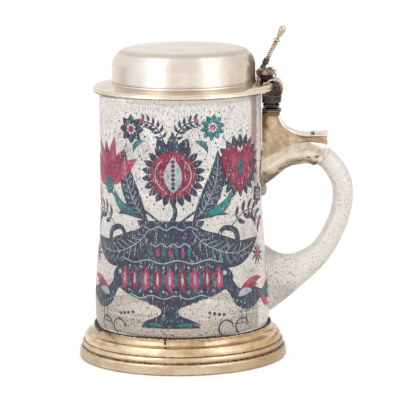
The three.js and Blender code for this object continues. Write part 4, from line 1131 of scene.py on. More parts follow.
# Ink in two drifting tones, with lighter stretches, dark specks, and upright nicks where it has worn
# away. Only a little of it shows from the inside of the glass.
def inkFinish(name, ink):
    look = inkLook
    material, tree, shader = newMaterial(name)
    worn, thin, dark = (fleckMask(tree, *look[key]) for key in ("worn", "thin", "dark"))
    drift = useGroup(tree, tarnish, {"Patch Size": look["patchSize"]})["Drift"]
    light = tuple(0.8 * value + 0.06 for value in ink["tone"])
    deep = tuple(0.3 * value for value in ink["tone"])
    tone = blend(tree, ramp(tree, drift, *look["drift"]), ink["tone"], ink["drift"])
    tone = blend(tree, times(tree, thin, look["thinShare"]), tone, light)
    kept = work(tree, "SUBTRACT", 1.0, times(tree, worn, look["wornLoss"]))
    setInputs(tree, shader, {
        "Base Color": blend(tree, times(tree, dark, look["darkShare"]), tone, deep),
        "Roughness": look["roughness"], "Alpha": shownOutside(tree, kept, look["insideLoss"]),
    })
    return material


bouquet((-6, 24))
bouquet((133, 24))
spray((-75.5, 24))
for name, ink in inks.items():
    finish = inkFinish(name + "Ink", ink)
    piece = makePiece(name + "Print", "glass_vessel", together(printed[name]), finish, "mug")
    skinning = piece.modifiers.new("thickness", "SOLIDIFY")
    skinning.thickness, skinning.offset = inkLook["thickness"] * mm, 1
print("print made")


# Foot

foot = {
    "lipLap": 1.1, "lipRoll": 0.8, "coveWidth": 3.5, "coveHeight": 3.1, "bulgeWidth": 2.3,
    "bulgeHeight": 4.2, "bulgeInset": 2.8, "beadInset": 1.5, "beadRadius": 1.5, "beadRise": 2.3,
    "groove": 0.3,
    "band": 5.7, "bandLean": 0.42, "edge": 0.8, "sheet": 1.2, "rim": 3, "columns": 256,
}


# The spun foot, from the top down: a rolled lip, a cove, a broad bulge, a bead between two grooves and a
# plain band. The rounds are arcs, and the inside follows in straight lines.
def makeFoot():
    f = foot
    r, top = corner("foot_ring", 1)[0], corner("foot_ring", 1)[2]
    lipR = float(bodyRadius(top)) + f["lipLap"]
    innerR = float(bodyRadius(top - f["coveHeight"])) + 0.3
    bulgeR = r - f["bulgeInset"] - f["bulgeWidth"]
    beadR, beadZ = r - f["beadInset"] - f["beadRadius"], f["band"] + f["beadRise"]
    bulgeLowZ = beadZ + f["beadRadius"] + f["groove"]
    bulgeTopZ = bulgeLowZ + f["bulgeHeight"]
    bulgeInR = bulgeR + f["bulgeWidth"] - f["sheet"]
    coveTopZ = top - f["coveHeight"]
    grooveR = r - f["beadInset"] - f["groove"]
    outside = [
        [[r - 0.8, 0], [r - 0.25, 0.25], [r, 0.8]],
        arc((r - f["bandLean"] - f["edge"], f["band"] - f["edge"]), f["edge"], 6, 75, 6),
        [[grooveR, f["band"] + 0.35], [grooveR - 0.15, f["band"] + 0.6]],
        arc((beadR, beadZ), f["beadRadius"], -35, 75, 12),
        [[beadR + 0.1, bulgeLowZ - 0.15]],
        arc((bulgeR, bulgeLowZ), (f["bulgeWidth"], f["bulgeHeight"]), 3, 90, 16),
        arc((bulgeR, bulgeTopZ + f["coveHeight"]), (f["coveWidth"], f["coveHeight"]), 268, 195, 14),
        arc((lipR, top - f["lipRoll"]), f["lipRoll"], -60, 150, 12),
    ]
    inside = [
        [innerR, coveTopZ + 0.8], [innerR + 1.2, coveTopZ - 1], [bulgeR - 1, bulgeTopZ - f["sheet"]],
        [bulgeInR, bulgeLowZ + 1.4], [bulgeInR, beadZ], [r - f["sheet"] - 0.6, f["band"] - 0.9],
        [r - f["sheet"] - 0.6, 2 * f["sheet"]], [r - f["rim"], 2 * f["sheet"]], [r - f["rim"], 0.6],
        [r - f["rim"] + 0.6, 0],
    ]
    shape = turn(np.vstack([*outside, inside]), f["columns"])
    makePiece("footShell", "foot_ring", shape, footMetal, "mug", hollow=0.9)


makeFoot()
print("foot made")


# Handle sleeve and saddle

sleeve = {
    "wall": 1.2, "gap": 0.3, "lip": 0.2, "lipBand": 1.1, "reach": 36.4, "mouthRise": 3.0, "mouthBow": 0.07,
    "rows": 153, "tipDrop": 19.2, "span": 0.5, "mouthLift": 2.2, "riseLength": 15,
}


# How far each point has still to go to the sleeve's mouth, which is upright above a height and bows back
# below it with the square of the drop.
def toMouth(points):
    drop = np.maximum(armZ + sleeve["mouthRise"] - points[..., 2], 0)
    return wallX + sleeve["reach"] - points[..., 0] - sleeve["mouthBow"] * drop**2


# The share of the handle's line at which each column meets the mouth's plane: the crossing found between
# evenly spaced rows.
def mouthShare(grow):
    share = np.linspace(0, sleeve["span"], 400)
    grid = np.repeat(share[:, None], handle["columns"], axis=1)
    left = toMouth(handleSurface(grid, grow))
    crossing = np.argmax(left < 0, axis=0)
    k = np.arange(handle["columns"])
    before, after = left[crossing - 1, k], left[crossing, k]
    return share[crossing - 1] + (share[crossing] - share[crossing - 1]) * before / (before - after)


# The sleeve: the handle's surface grown by a gap and a wall, up to its slanted mouth, with a rolled lip
# there, and back inside. Its upper side rises towards the mouth with the square of the nearness.
def makeSleeve():
    u = np.sin(np.linspace(0, np.pi / 2, sleeve["rows"]))
    outerGrow = sleeve["gap"] + sleeve["wall"]
    outerShare = u[:, None] * mouthShare(outerGrow)[None]
    band = sleeve["lipBand"]
    offMiddle = np.abs(toMouth(handleSurface(outerShare, outerGrow)) - band / 2) / (band / 2)
    swell = sleeve["lip"] * np.sqrt(np.clip(1 - offMiddle**2, 0, 1))
    outer = handleSurface(outerShare, outerGrow + swell)
    isAbove = np.clip((outer[..., 2] - handleSurface(outerShare, 0).mean(1)[:, None, 2]) / 4, 0, 1)
    nearMouth = np.clip(1 - toMouth(outer) / sleeve["riseLength"], 0, 1)
    outer[..., 2] += sleeve["mouthLift"] * isAbove * nearMouth**2
    inner = handleSurface(u[::-4, None] * mouthShare(sleeve["gap"])[None], sleeve["gap"])
    rings = outOfBody(np.vstack([outer, inner]), sleeve["gap"])
    rings[..., 2] = np.maximum(rings[..., 2], armZ - sleeve["tipDrop"])
    shape = skin(rings, closedRows=True)
    makePiece("handleSleeve", "handle_sleeve", shape, sleeveMetal, "mug", 1.2, sharp=50)


saddle = {
    "strapRise": 9.9, "strapThickness": 1.5, "strapWidth": 11.6, "strapSweep": 15.6, "strapRound": 0.6,
    "webWidth": 11.5, "webEndWidth": 10.4, "webHollow": 0.9, "webSetback": 0.6,
    "webFlare": 3.6, "webFlareHeight": 4.4, "webGap": 0.3, "webFloor": 0.15, "webUnder": 0.5,
    "padLength": 7.8, "padWidth": 9.4, "padHeight": 0.7, "padGap": 0.02, "padRound": 0.12,
}
strapTopZ = armZ + saddle["strapRise"]
strapX = corner("saddle_strap", 0)[0] + saddle["strapThickness"]
columnX, _, columnFootZ = corner("hinge_column", 0)
strapTurnX = strapX + saddle["strapSweep"]
strapEndX = wallX + sleeve["reach"]


# The strap: level over the sleeve, then an elliptic quarter up to the column.
def makeStrap():
    thick, sweep = saddle["strapThickness"], saddle["strapSweep"]
    rise = columnFootZ - strapTopZ
    upper = arc((strapTurnX, columnFootZ), (sweep, rise), 270, 180, 40)
    lower = arc((strapTurnX, columnFootZ), (sweep + thick, rise + thick), 180, 270, 40)
    along = np.linspace(0, 1, 12)[1:-1, None]
    end = np.array([[strapEndX, strapTopZ - down] for down in (thick, thick / 2, 0)])
    top = end[-1] + (upper[0] - end[-1]) * along
    bottom = lower[-1] + (end[0] - lower[-1]) * along
    half = saddle["strapWidth"] / 2
    shape = plate(np.vstack([end, top, upper, lower, bottom]), -half, half, saddle["strapRound"], across=10)
    makePiece("saddleStrap", "saddle_strap", shape, strapMetal, "mug", 1.2)


# Height of the web's top: under the strap's curve, or level under the column.
def webTop(x):
    radiusX = saddle["strapSweep"] + saddle["strapThickness"]
    radiusZ = columnFootZ - strapTopZ + saddle["strapThickness"]
    along = np.clip((strapTurnX - x) / radiusX, 0, 1)
    return np.minimum(columnFootZ - radiusZ * np.sqrt(1 - along**2), columnFootZ - 0.05) + 0.05


# Height of the sleeve's upper side at x and y: its top edge, less the drop of its squared section.
def sleeveTop(x, y):
    line = smoothLine(handleRows(), np.linspace(0.005, sleeve["span"], 300))
    grow = sleeve["gap"] + sleeve["wall"]
    angle = np.radians(line[:, 2])
    edgeX = line[:, 0] + (line[:, 3] / 2 + grow) * np.cos(angle)
    edgeZ = line[:, 1] + (line[:, 3] / 2 + grow) * np.sin(angle)
    order = np.argsort(edgeX)
    top, deep, wide = (np.interp(x, edgeX[order], value[order]) for value in (
        edgeZ, line[:, 3] / 2 + grow, line[:, 4] / 2 + grow))
    power = handle["squareness"]
    share = np.clip(np.abs(y) / wide, 0, 0.999)
    return top - deep * (1 - (1 - share**power) ** (1 / power))


# The web: at each x a section that is hollow at its sides, and flares out at the bottom to meet the
# sleeve by a fading exponential of the share above it. Its underside lies just inside the sleeve's wall.
def makeWeb():
    x = np.linspace(columnX, strapEndX - saddle["webSetback"], 90)[:, None]
    share = (x - x[0]) / (x[-1] - x[0])
    broad = (saddle["webWidth"] + (saddle["webEndWidth"] - saddle["webWidth"]) * share) / 2
    up = np.linspace(0, 1, 36)[None]
    tall = np.maximum(webTop(x) - sleeveTop(x, 0 * x), 0.3)
    half = broad - saddle["webHollow"] * (1 - up**4)
    half = half + saddle["webFlare"] * np.exp(-up * tall / saddle["webFlareHeight"]) * (1 - np.exp(-tall / 5))
    low = sleeveTop(x, half) - saddle["webFloor"]
    z = low + (webTop(x) - low) * up
    under = half[:, :1] * np.linspace(1, -1, 14)[None, 1:-1]
    y = np.hstack([-half, half[:, ::-1], under])
    z = np.hstack([z, z[:, ::-1], sleeveTop(x, under) - saddle["webUnder"]])
    rings = np.stack([np.repeat(x, y.shape[1], axis=1), y, z], axis=2)[:, ::-1]
    shape = skin(outOfBody(rings, saddle["webGap"]))
    makePiece("saddleWeb", "saddle_web", shape, saddleMetal, "mug", 1.2)


# The pad: a low plate at the strap's end with a step, a notch and a rolled front edge.
def makePad():
    size = (saddle["padLength"], saddle["padHeight"])
    outline = shareOutline((strapEndX - size[0], strapTopZ + saddle["padGap"]), size, [
        (0, 0), (1, 0), (1, 1), (0.8, 1), (0.66, 0.98, 0.55, 0.75), (0.42, 0.1, 0.3, 0.5),
        (0.17, 1.1, 0.06, 0.9), (0, 0.7, 0, 0.1),
    ])
    half = saddle["padWidth"] / 2
    shape = plate(outline, -half, half, saddle["padRound"])
    makePiece("strapPad", "strap_pad", shape, strapMetal, "mug", 1.2)


makeSleeve()
makeStrap()
makeWeb()
makePad()
print("saddle made")


# Hinge

hinge = {
    "pinX": 51.2, "pinZ": 148.3, "pinRadius": 2.6, "headRadius": 3.2, "headHeight": 1.2, "headInner": 6.0,
    "knuckleRadius": 5.3, "curlInner": 4.3, "tubeRadius": 3.3, "innerY": 3.3, "outerY": 6.5,
    "knuckleRound": 0.25, "thickness": 9.7, "width": 11.4, "height": 10.4, "squareness": 3.2,
    "neckInset": 2.1, "ringProud": 0.9, "ropeWire": 0.9, "ropeTurns": 14, "ropeRise": 4.7, "ropeWind": 0.85,
    "columns": 96, "cutGap": 0.05, "cheekInset": 0.03, "cheekSlant": 0.01,
}
pinX, pinZ = hinge["pinX"], hinge["pinZ"]


# Squared rings round the column, one for each row of height, how far it stands proud, and how far its
# flat side is let in towards the neck.
def columnRings(line):
    h = hinge
    ring = squaredRing(h["columns"], h["squareness"])
    up, out, let = (line[:, k][:, None] for k in range(3))
    inset = let * h["neckInset"]
    x = columnX + inset + (h["thickness"] + out - inset) / 2 * (1 + ring[:, 0][None])
    y = (h["width"] / 2 + out) * ring[:, 1][None]
    return np.stack([x, y, np.repeat(columnFootZ + up, h["columns"], axis=1)], axis=2)


# The post's mouldings, cut off below the centre knuckle, and the two cheeks that carry on beside it.
def makeColumn():
    h = hinge
    neck, proud, tall = h["ropeWire"] * 2, h["ringProud"], h["height"]
    low, high = h["ropeRise"] - 1.3 * h["ropeWire"], h["ropeRise"] + 1.3 * h["ropeWire"]
    line = cornered([0, 0, 0], [
        [[0.9, 0, 0]],
        [[1.05, -0.35, 0], [1.25, 0, 0]],
        [[1.35, 0.75 * proud, 0], [1.7, proud, 0], [2.1, 0.75 * proud, 0], [2.25, 0.45 * proud, 0]],
        [[2.5, 0.9 * proud, 0], [2.9, 0.75 * proud, 0], [3.15, 0.2, 0]],
        [[low, -neck, 1]],
        [[high, -neck, 1]],
        [[high + 0.35, 0.3 * proud, 0]],
        [[high + 0.7, 0.8 * proud, 0], [high + 1.2, 0.95 * proud, 0], [high + 1.6, 0.6 * proud, 0]],
        [[high + 1.9, 0.95 * proud, 0], [tall - 1.3, proud, 0]],
        [[tall - 0.3, proud, 0], [tall, 0.7 * proud, 0]],
    ])
    cut = pinZ - h["knuckleRadius"] - h["cutGap"] - columnFootZ
    shapes = [skin(columnRings(np.vstack([line[line[:, 0] < cut], [[cut, proud, 0]]])))]
    for side in (-1, 1):
        cheek = columnRings(line[line[:, 0] > cut - 0.4] - [0, h["cheekInset"], 0])
        reach = side * cheek[..., 1] - h["innerY"]
        cheek[..., 1] = side * (h["innerY"] + np.where(reach < 0, reach * h["cheekSlant"], reach))
        shapes.append(skin(cheek))
    makePiece("hingeColumn", "hinge_column", together(shapes), oxidised, "mug", 0.6)


# Each knuckle is a rolled strap: it comes up round the back and over the top to a tapered tip, and stands
# clear of the round tube inside it.
def makeKnuckles():
    h = hinge
    curl = np.vstack([
        arc((pinX, pinZ), h["knuckleRadius"], -150, 118, 70),
        arc((pinX, pinZ), h["knuckleRadius"] + 0.3, 152, 155, 1),
        arc((pinX, pinZ), h["curlInner"], 142, -150, 70),
    ])
    tube = arc((pinX, pinZ), h["tubeRadius"], 0, 360, 72)[:-1]
    for name, outline, end, finish in (
            ("hingeCurls", curl, "outerY", curlMetal), ("hingeTubes", tube, "headInner", oxidised)):
        spans = (sorted((side * h["innerY"], side * h[end])) for side in (-1, 1))
        shape = together([plate(outline, *span, h["knuckleRound"]) for span in spans])
        makePiece(name, "hinge_column", shape, finish, "mug", 0.6)


# The rope: two round wires that wind round each other along the ring of the neck.
def makeRope():
    h = hinge
    wire = h["ropeWire"] / 2
    ring = columnRings(np.array([[h["ropeRise"], -2 * h["ropeWire"], 1]]))[0]
    centre = evenly(ring, 480)
    outward = centre - (ring.max(0) + ring.min(0)) / 2
    centre = centre + outward / np.linalg.norm(outward, axis=1, keepdims=True) * h["ropeWire"]
    way = np.roll(centre, -1, axis=0) - np.roll(centre, 1, axis=0)
    way /= np.linalg.norm(way, axis=1, keepdims=True)
    up = np.array([[0, 0, 1.0]])
    side = np.cross(way, up)
    twist = np.arange(len(centre)) * np.pi * h["ropeTurns"] / len(centre)
    turned = roundAngles(10)[None, :, None]
    shapes = []
    for phase in (0, np.pi):
        c, s = np.cos(twist + phase)[:, None], np.sin(twist + phase)[:, None]
        strand = centre + wire * h["ropeWind"] * (side * c + up * s)
        rings = strand[:, None] + wire * (side[:, None] * np.cos(turned) - up[:, None] * np.sin(turned))
        shapes.append(skin(rings, closedRows=True))
    makePiece("ropeCollar", "rope_collar", together(shapes), oxidised, "mug", 0.4)


# The pin: a shaft with a domed, peened head at each end, with a groove round the head and a dimple in it.
def makePin():
    inner, r, tall = hinge["headInner"], hinge["headRadius"], hinge["headHeight"]
    head = cornered([hinge["pinRadius"] / r, 0], [
        [[1, 0]],
        [[1, 0.3], [0.93, 0.55]],
        [[0.83, 0.45], [0.76, 0.6]],
        [[0.5, 0.9], [0.2, 1], [0.02, 0.96]],
    ]) * [r, tall] + [0, inner]
    shaft = np.stack([np.full(8, hinge["pinRadius"]), np.linspace(-inner, inner, 8)], axis=1)[1:-1]
    end = inner + 0.95 * tall
    points, faces = turn(np.vstack([[[0, -end]], head[::-1] * [1, -1], shaft, head, [[0, end]]]), 48)
    laid = np.stack([pinX + points[:, 0], points[:, 2], pinZ - points[:, 1]], axis=1)
    makePiece("hingePin", "hinge_pin", (laid, faces), oxidised, "mug", 0.6)


makeColumn()
makeKnuckles()
makeRope()
makePin()
print("hinge made")


# Lid

lid = {
    "offset": 2.1, "domeInset": 5.15, "domeHeight": 20.8, "shoulder": 10, "domeFoot": 0.4, "domeGap": 0.04,
    "crown": 1.7, "sheet": 1.1, "overhang": 5.3, "flangeRim": 2.9, "flangeRise": 1.4, "ledge": 0.5,
    "domeLap": 2.35, "seam": 0.3, "columns": 256, "collarHeight": 3.6, "collarPlay": 0.6,
    "notchX": 45.3, "notchHalf": 8.0, "notchSide": 0.0004, "lugAngle": 0.85, "lugFade": 0.12, "lugLift": 0.5,
    "lugRise": 1.2,
}
seatZ = rimZ + lid["seam"]
flangeTopZ = seatZ + lid["flangeRim"]
domeSeatZ = flangeTopZ + lid["flangeRise"]
domeTopZ = domeSeatZ + lid["domeHeight"]
domeRadius = wallX - lid["domeInset"]
flangeRadius = wallX + lid["overhang"]


# The dome's line from its side in to the axis: an elliptic shoulder, and a crown that rises a little to the
# middle by a quarter sine.
def crownLine(inset, steps):
    shoulder = lid["shoulder"]
    bend = arc((domeRadius - shoulder, domeTopZ - lid["crown"] - shoulder), shoulder - inset, 0, 84, steps)
    share = np.linspace(0, 1, 26)[1:-1]
    edgeR, edgeZ = bend[-1]
    rise = (domeTopZ - inset - edgeZ) * np.sin(share * np.pi / 2) ** 0.85
    return np.vstack([bend, np.stack([edgeR * (1 - share), edgeZ + rise], axis=1)])


# The dome: a low turned-out foot, an upright side, and the crown line; the inside follows at the sheet's
# thickness.
def makeDome():
    r, baseZ, thick = domeRadius, domeSeatZ + lid["domeGap"], lid["sheet"]
    outside = crownLine(0, 28)
    flare = cornered([r + lid["domeFoot"], baseZ], [
        [[r + lid["domeFoot"], baseZ + 0.5]], [[r + 0.08, baseZ + 0.9], [r, baseZ + 1.4]],
    ])
    side = [[r, z] for z in np.linspace(baseZ + 1.4, outside[0, 1], 11)[1:-1]]
    inside = np.vstack([[[r - thick, baseZ]], crownLine(thick, 16), [[0, domeTopZ - thick]]])
    profile = np.vstack([inside[::-1], flare, side, outside, [[0, domeTopZ]]])
    shape = turn(profile, lid["columns"], lid["offset"])
    makePiece("lidDome", "lid_dome", shape, silver, "lid", 0.9)


# The flange: its profile goes round the lid's axis. Within the notch's angle every point is held back to
# the notch's straight edge, and a second column just beside each end of it makes the notch's side. Near
# the notch the rim is raised and thicker, as a squared lug.
def makeFlange():
    r, bore, rim, z = flangeRadius, domeRadius - lid["domeLap"], lid["flangeRim"], seatZ
    ledgeR = domeRadius + lid["domeFoot"] + lid["ledge"]
    profile = cornered([bore, z], [
        [[r - 3.4, z]],
        [[r - 3.2, z + 0.25], [r - 3, z]],
        [[r - 0.7, z]],
        [[r - 0.15, z + 0.2], [r, z + 0.7]],
        [[r, z + rim - 1.2]],
        [[r - 0.12, z + rim - 0.85], [r - 0.4, z + rim - 0.7]],
        [[r - 0.3, z + rim - 0.3], [r - 0.7, z + rim]],
        [[r - 3.2, z + rim + 0.3], [ledgeR + 2, domeSeatZ - 0.35], [ledgeR + 0.6, domeSeatZ - 0.05],
         [ledgeR, domeSeatZ]],
        [[bore, domeSeatZ]],
    ])
    half = math.asin(lid["notchHalf"] / r)
    beside = half + lid["notchSide"]
    rest = np.linspace(beside, 2 * np.pi - beside, lid["columns"])
    angle = np.concatenate([np.linspace(-half, half, 30), rest])
    limit = np.where(np.abs(angle) <= half, (lid["notchX"] - lid["offset"]) / np.cos(angle), 2 * r)
    held = np.minimum(profile[:, :1], limit[None])
    turned = np.abs((angle + np.pi) % (2 * np.pi) - np.pi)
    near = np.clip((lid["lugAngle"] - turned) / lid["lugFade"], 0, 1)
    outer = np.clip((profile[:, 0] - (r - 3.6)) / 0.8, 0, 1)[:, None]
    raised = lid["lugLift"] + (lid["lugRise"] - lid["lugLift"]) * (profile[:, 1:] - z) / rim
    height = profile[:, 1:] + outer * near[None] * raised
    rings = np.stack([lid["offset"] + held * np.cos(angle), held * np.sin(angle), height], axis=2)
    shape = skin(rings, closedRows=True)
    makePiece("lidFlange", "lid_flange", shape, flangeMetal, "lid", 0.7, sharp=35)


# The collar: an upright ring under the lid, with a rounded lower edge that turns inwards.
def makeCollar():
    r = wallX - glass["wall"] - lid["offset"] - lid["collarPlay"]
    low, inner = rimZ - lid["collarHeight"], r - lid["sheet"]
    profile = [
        [r - 0.9, low + 0.25], [r - 0.55, low], [r - 0.15, low + 0.2], [r, low + 0.7], [r, rimZ],
        [inner, rimZ], [inner, low + 0.7],
    ]
    makePiece("lidCollar", "lid_collar", turn(profile, 160, lid["offset"]), silver, "lid", 1.2)


lift = {
    "leafThickness": 2.2, "leafWidth": 13, "leafInset": 0.5, "leafFloor": 0.6,
    "tongueWidth": 6, "tongueRadius": 5,
    "bracketLength": 5.6, "bracketHeight": 4.8, "bracketWidth": 5.4, "border": 0.7, "middleShare": 0.74,
    "scrollHeight": 5.2, "scrollLength": 5.2, "scrollWidth": 4.6, "scrollLap": 1.0, "ballRadius": 1.2,
    "stemOut": 3.8, "stemLean": 62.3, "stemLength": 14.8, "stemRadius": 1.3, "stemTwist": 7,
    "stemColumns": 36, "finialLength": 11.6, "finialRadius": 2.0,
}
leafTopZ = domeSeatZ + lift["leafThickness"]
bracketX = lid["offset"] + domeRadius + lid["seam"]
liftSeatZ = leafTopZ + lid["seam"]
stemFoot = np.array([lid["offset"] + domeRadius + lift["stemOut"], 0, leafTopZ + lift["bracketHeight"]])


# The hinge leaf: a shield lying on the flange that narrows to the tongue, and the centre knuckle's round
# bar.
def makeTongue():
    x, half, wide = bracketX + lift["leafInset"], lift["tongueWidth"] / 2, lift["leafWidth"] / 2
    edge = lid["notchX"]
    side = cornered([x, 0], [
        [[x, wide - 0.6]],
        [[x + 0.2, wide - 0.1], [x + 0.9, wide], [edge - 1.4, wide - 0.6]],
        [[edge - 0.4, half + 1.2], [edge + 0.3, half]],
        [[pinX, half]],
    ])
    outline = np.vstack([side, side[::-1][:-1] * [1, -1]])
    leafPlate = plate(outline, flangeTopZ + lift["leafFloor"], leafTopZ, 0.35, isLevel=True)
    ring = arc((pinX, pinZ), lift["tongueRadius"], 0, 360, 72)[:-1]
    shape = together([leafPlate, plate(ring, -half, half, 0.3)])
    makePiece("lidTongue", "lid_tongue", shape, bronzed, "lid", 0.7)


# The bracket: a leaf that leans on the dome, with a thinner border round a raised middle.
def makeBracket():
    size = (lift["bracketLength"], lift["bracketHeight"] - lid["seam"])
    outline = shareOutline((bracketX, liftSeatZ), size, [
        (0.2, 0), (0.4, 0), (0.7, 0), (1, 0), (1.0, 0.8), (0.95, 0.98, 0.8, 0.86), (0.66, 0.8, 0.6, 0.98),
        (0.43, 1.04), (0.12, 0.92, 0.0, 0.6), (0.02, 0.3, 0.17, 0.02),
    ])
    half, middle = lift["bracketWidth"] / 2, outline.mean(0)
    border = plate(outline, -half + lift["border"], half - lift["border"], 0.35)
    raised = plate(middle + (outline - middle) * lift["middleShare"], -half, half, 0.5)
    makePiece("thumbBracket", "thumb_bracket", together([border, raised]), bronzed, "lid", 0.6)


# The scroll: a low leaf against the bracket, with round nubs along its edge and on its sides.
def makeScroll():
    x = bracketX + lift["bracketLength"] - lift["scrollLap"]
    size = (lift["scrollLength"] + lift["scrollLap"] + 2 * lid["seam"], lift["scrollHeight"])
    outline = shareOutline((x, liftSeatZ), size, [
        (0, 0), (0.55, 0), (0.8, 0.1, 0.72, 0.34), (1.0, 0.4, 0.99, 0.62), (0.9, 0.8, 0.78, 0.66),
        (0.76, 1.02, 0.5, 0.96), (0.5, 0.8, 0.42, 0.9), (0.2, 1.0, 0.06, 0.86), (0, 0.3),
    ])
    half = lift["scrollWidth"] / 2
    flat = plate(outline, -half + 0.5, half - 0.5, 0.4)
    makePiece("scrollLeaf", "thumb_scroll", flat, bronzed, "lid", 0.6)
    shapes = []
    nubs = ((0.86, 0.48, 0.75), (0.68, 0.8, 0.75), (0.44, 0.86, 0.6), (0.56, 0.46, 0.7), (0.9, 0.2, 0.5))
    for out, up, share in nubs:
        radius = share * lift["ballRadius"]
        for side in (-1, 1):
            place = (x + out * size[0], side * (half - radius), liftSeatZ + up * size[1])
            shapes.append(ball(place, radius, 18))
    makePiece("scrollNubs", "thumb_scroll", together(shapes), liftMetal, "lid", 0.6)


# Makes a piece of the thumb lift from a shape that stands on an upright axis, turned over to the lift's
# lean.
def makeLeaning(name, node, shape):
    (x, y, z), lean = shape[0].T, math.radians(90 - lift["stemLean"])
    c, s = math.cos(lean), math.sin(lean)
    points = stemFoot + np.stack([x * c + z * s, y, z * c - x * s], axis=1)
    makePiece(name, node, (points, shape[1]), liftMetal, "lid", 0.6)


# The stem: a neck and collars, then a bar of three lobes that twist along it. The radius at angle a is
# r (0.94 - 0.08 fade (1 - cos(3 a - turn))), where fade falls to 0 at both ends.
def makeStem():
    long, r, columns = lift["stemLength"], lift["stemRadius"], lift["stemColumns"]
    collars = cornered([0, 1.2], [
        [[0.05, 1.2], [0.11, 0.93], [0.2, 0.98]],
        [[0.215, 1.3], [0.25, 1.45], [0.285, 1.3]],
        [[0.3, 1.02], [0.31, 1.02]],
        [[0.32, 1.28], [0.35, 1.36], [0.38, 1.2]],
        [[0.395, 0.98], [0.41, 0.98]],
    ])
    angle = roundAngles(columns)
    share = np.linspace(0, 1, 120)[:, None]
    fade = np.clip(np.minimum(share, 1 - share) * 20, 0, 1)
    lobes = np.cos(3 * angle[None] - share * 2 * np.pi * lift["stemTwist"])
    radius = r * np.vstack([np.repeat(collars[:, 1:], columns, axis=1), 0.94 - 0.08 * fade * (1 - lobes)])
    z = long * np.vstack([collars[:, :1], 0.415 + 0.585 * share])
    rings = np.stack([radius * np.cos(angle), radius * np.sin(angle), np.repeat(z, columns, axis=1)], axis=2)
    makeLeaning("thumbStem", "thumb_stem", skin(rings))


# The finial: a small collar, a large one, and a long bud on a slim neck.
def makeFinial():
    profile = cornered([0, 0], [
        [[0.6, 0]],
        [[0.85, 0.02], [0.85, 0.06], [0.6, 0.085]],
        [[0.5, 0.12], [0.56, 0.16]],
        [[0.95, 0.18], [1, 0.22], [0.95, 0.26], [0.6, 0.285]],
        [[0.42, 0.32], [0.4, 0.36], [0.55, 0.45], [0.75, 0.56], [0.9, 0.69], [0.92, 0.79], [0.76, 0.9],
         [0.4, 0.97], [0.12, 0.999]],
        [[0, 1]],
    ]) * [lift["finialRadius"], lift["finialLength"]] + [0, lift["stemLength"]]
    makeLeaning("thumbFinial", "thumb_finial", turn(profile, 40))


makeDome()
makeFlange()
makeCollar()
makeTongue()
makeBracket()
makeScroll()
makeStem()
makeFinial()
print("lid made")


# Stage, light and camera

view = {
    "place": (0.0103, -1.486, 0.332), "pitchDown": 9.395, "roll": -0.6, "lens": 246.2, "sensor": 36.0,
}
stage = {
    "halfWidth": 6.0, "floorZ": -0.0002, "floorGlow": 0.62, "floorGrey": 0.6, "worldLevel": 0.65,
}
softbox = {"azimuth": 42, "distance": 1.5, "height": 0.42, "width": 0.5, "tall": 1.3, "pitch": 80, "power": 8}
# Dimmer panels that only reflections see: the way they stand in, half their angle, how far off they are,
# from and to which height they reach and how bright they are.
flags = {
    "rightFlag": {"azimuth": 143, "halfAngle": 17, "distance": 0.5, "low": 0.098, "top": 0.15, "level": 0.0},
    "leftFlag": {"azimuth": -110, "halfAngle": 16, "distance": 0.5, "low": 0.064, "top": 0.21, "level": 0.86},
}
# Bright cards that only reflections see: how far off they are, how far the wall that shows them is tilted
# back, and their brightness at each turn of that wall in degrees.
cards = {
    "distance": 0.48, "centre": (0.0, 0.0, 0.16), "tilt": (-2, 50), "viewTilt": 9.4,
    "turns": (13.5, 15.5, 25, 30, 38, 50), "levels": (1.0, 2.1, 2.0, 1.45, 1.15, 1.0),
    "colour": (0.95, 1, 1.1),
}


# One where the ray comes from the camera, a mirror or glass.
def seenRay(tree):
    path = addNode(tree, "ShaderNodeLightPath").outputs
    mirrored = larger(tree, path["Is Camera Ray"], path["Is Glossy Ray"])
    return larger(tree, mirrored, path["Is Transmission Ray"])


# A part of the stage: a sheet of faces in a matt grey that also glows, by what a function makes of its
# tree.
def makeStagePart(name, points, faces, grey, glowColour, glow):
    material, tree, shader = newMaterial(name)
    setInputs(tree, shader, {
        "Base Color": (grey, grey, grey, 1), "Roughness": 1, "Specular IOR Level": 0,
        "Emission Color": (*glowColour, 1), "Emission Strength": glow(tree),
    })
    mesh = bpy.data.meshes.new(name)
    mesh.from_pydata(points, [], faces)
    part = addObject(name, mesh, material)
    return part


# The floor: a level square that looks white from the camera and lights the object softly.
def makeFloor():
    def glow(tree):
        return times(tree, seenRay(tree), stage["floorGlow"])

    half, z = stage["halfWidth"], stage["floorZ"]
    corners = [(-half, -half, z), (half, -half, z), (half, half, z), (-half, half, z)]
    makeStagePart("floor", corners, [(0, 1, 2, 3)], stage["floorGrey"], (1, 1, 1), glow)


# White surroundings: full strength where they are seen or mirrored, and less as light.
def makeWorld():
    world = bpy.data.worlds.new("studio")
    bpy.context.scene.world = world
    world.use_nodes = True
    tree, level = world.node_tree, stage["worldLevel"]
    strength = work(tree, "ADD", times(tree, seenRay(tree), 1 - level), level)
    setInputs(tree, tree.nodes["Background"], {"Color": (1, 1, 1, 1), "Strength": strength})


# A soft upright light to one side, turned towards the object.
def makeSoftbox(name, side):
    box = softbox
    light = bpy.data.lights.new(name, "AREA")
    light.shape = "RECTANGLE"
    light.size, light.size_y, light.energy = box["width"], box["tall"], box["power"]
    lamp = addObject(name, light)
    turned = side * math.radians(box["azimuth"])
    lamp.location = (math.sin(turned) * box["distance"], -math.cos(turned) * box["distance"], box["height"])
    lamp.rotation_euler = (math.radians(box["pitch"]), 0, turned)
    lamp.visible_glossy = False  # the cards below stand for it in the metal


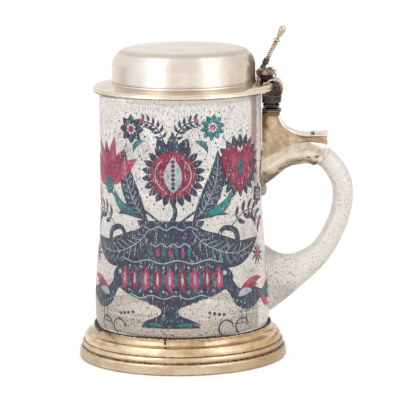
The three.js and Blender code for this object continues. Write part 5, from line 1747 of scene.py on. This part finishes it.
# Something that only reflections see: a grid of points that shines at the level that its mesh carries.
def makeReflected(name, colour, points, levels):
    def glow(tree):
        return addNode(tree, "ShaderNodeAttribute", attribute_name="glow").outputs["Fac"]

    faces = gridFaces(*levels.shape, closedColumns=False)
    panel = makeStagePart(name, points.reshape(-1, 3).tolist(), faces, 0, colour, glow)
    writeValues(panel.data, "glow", levels.ravel())
    for kind in ("camera", "diffuse", "transmission", "shadow"):
        setattr(panel, "visible_" + kind, False)


# A dimmer panel bent round the object.
def makeFlag(name, flag):
    turned = np.radians(flag["azimuth"] + np.linspace(-1, 1, 13) * flag["halfAngle"])
    x, y = np.sin(turned) * flag["distance"], -np.cos(turned) * flag["distance"]
    points = np.stack([np.stack([x, y, np.full(13, z)], axis=1) for z in (flag["low"], flag["top"])])
    makeReflected(name, (1, 0.93, 0.86), points, np.full((2, 13), flag["level"]))


# A card bent so that a round wall with a round shoulder shows it as an upright band. Each point lies
# where the mirror ray leads from a wall of normal n seen along v: 2 (n.v) n - v.
def makeCard(name, side):
    c = cards
    turns, tilts = np.linspace(c["turns"][0], c["turns"][-1], 40), np.linspace(*c["tilt"], 24)
    turned, tilted = np.meshgrid(np.radians(turns), np.radians(tilts), indexing="ij")
    flat = np.stack([np.sin(turned) * side, -np.cos(turned)])
    normal = np.stack([*(np.cos(tilted) * flat), np.sin(tilted)], axis=-1)
    viewTilt = math.radians(c["viewTilt"])
    seen = np.array([0, -math.cos(viewTilt), math.sin(viewTilt)])
    ray = 2 * (normal @ seen)[..., None] * normal - seen
    levels = np.interp(np.degrees(turned), c["turns"], c["levels"])
    makeReflected(name, c["colour"], np.array(c["centre"]) + c["distance"] * ray, levels)


# The camera: at the view's place, pitched down, then rolled.
def makeCamera():
    lens = bpy.data.cameras.new("camera")
    lens.lens, lens.sensor_width, lens.sensor_fit = view["lens"], view["sensor"], "HORIZONTAL"
    camera = addObject("camera", lens)
    tilt = Matrix.Rotation(math.radians(90 - view["pitchDown"]), 4, "X")
    roll = Matrix.Rotation(math.radians(view["roll"]), 4, "Z")
    camera.matrix_world = Matrix.Translation(view["place"]) @ tilt @ roll
    bpy.context.scene.camera = camera


makeFloor()
makeWorld()
sides = (("left", -1), ("right", 1))
for label, side in sides:
    makeSoftbox(label + "Box", side)
for name, flag in flags.items():
    makeFlag(name, flag)
for label, side in sides:
    makeCard(label + "Card", side)
makeCamera()
bpy.context.scene.view_settings.view_transform = "Standard"
print("stage set")
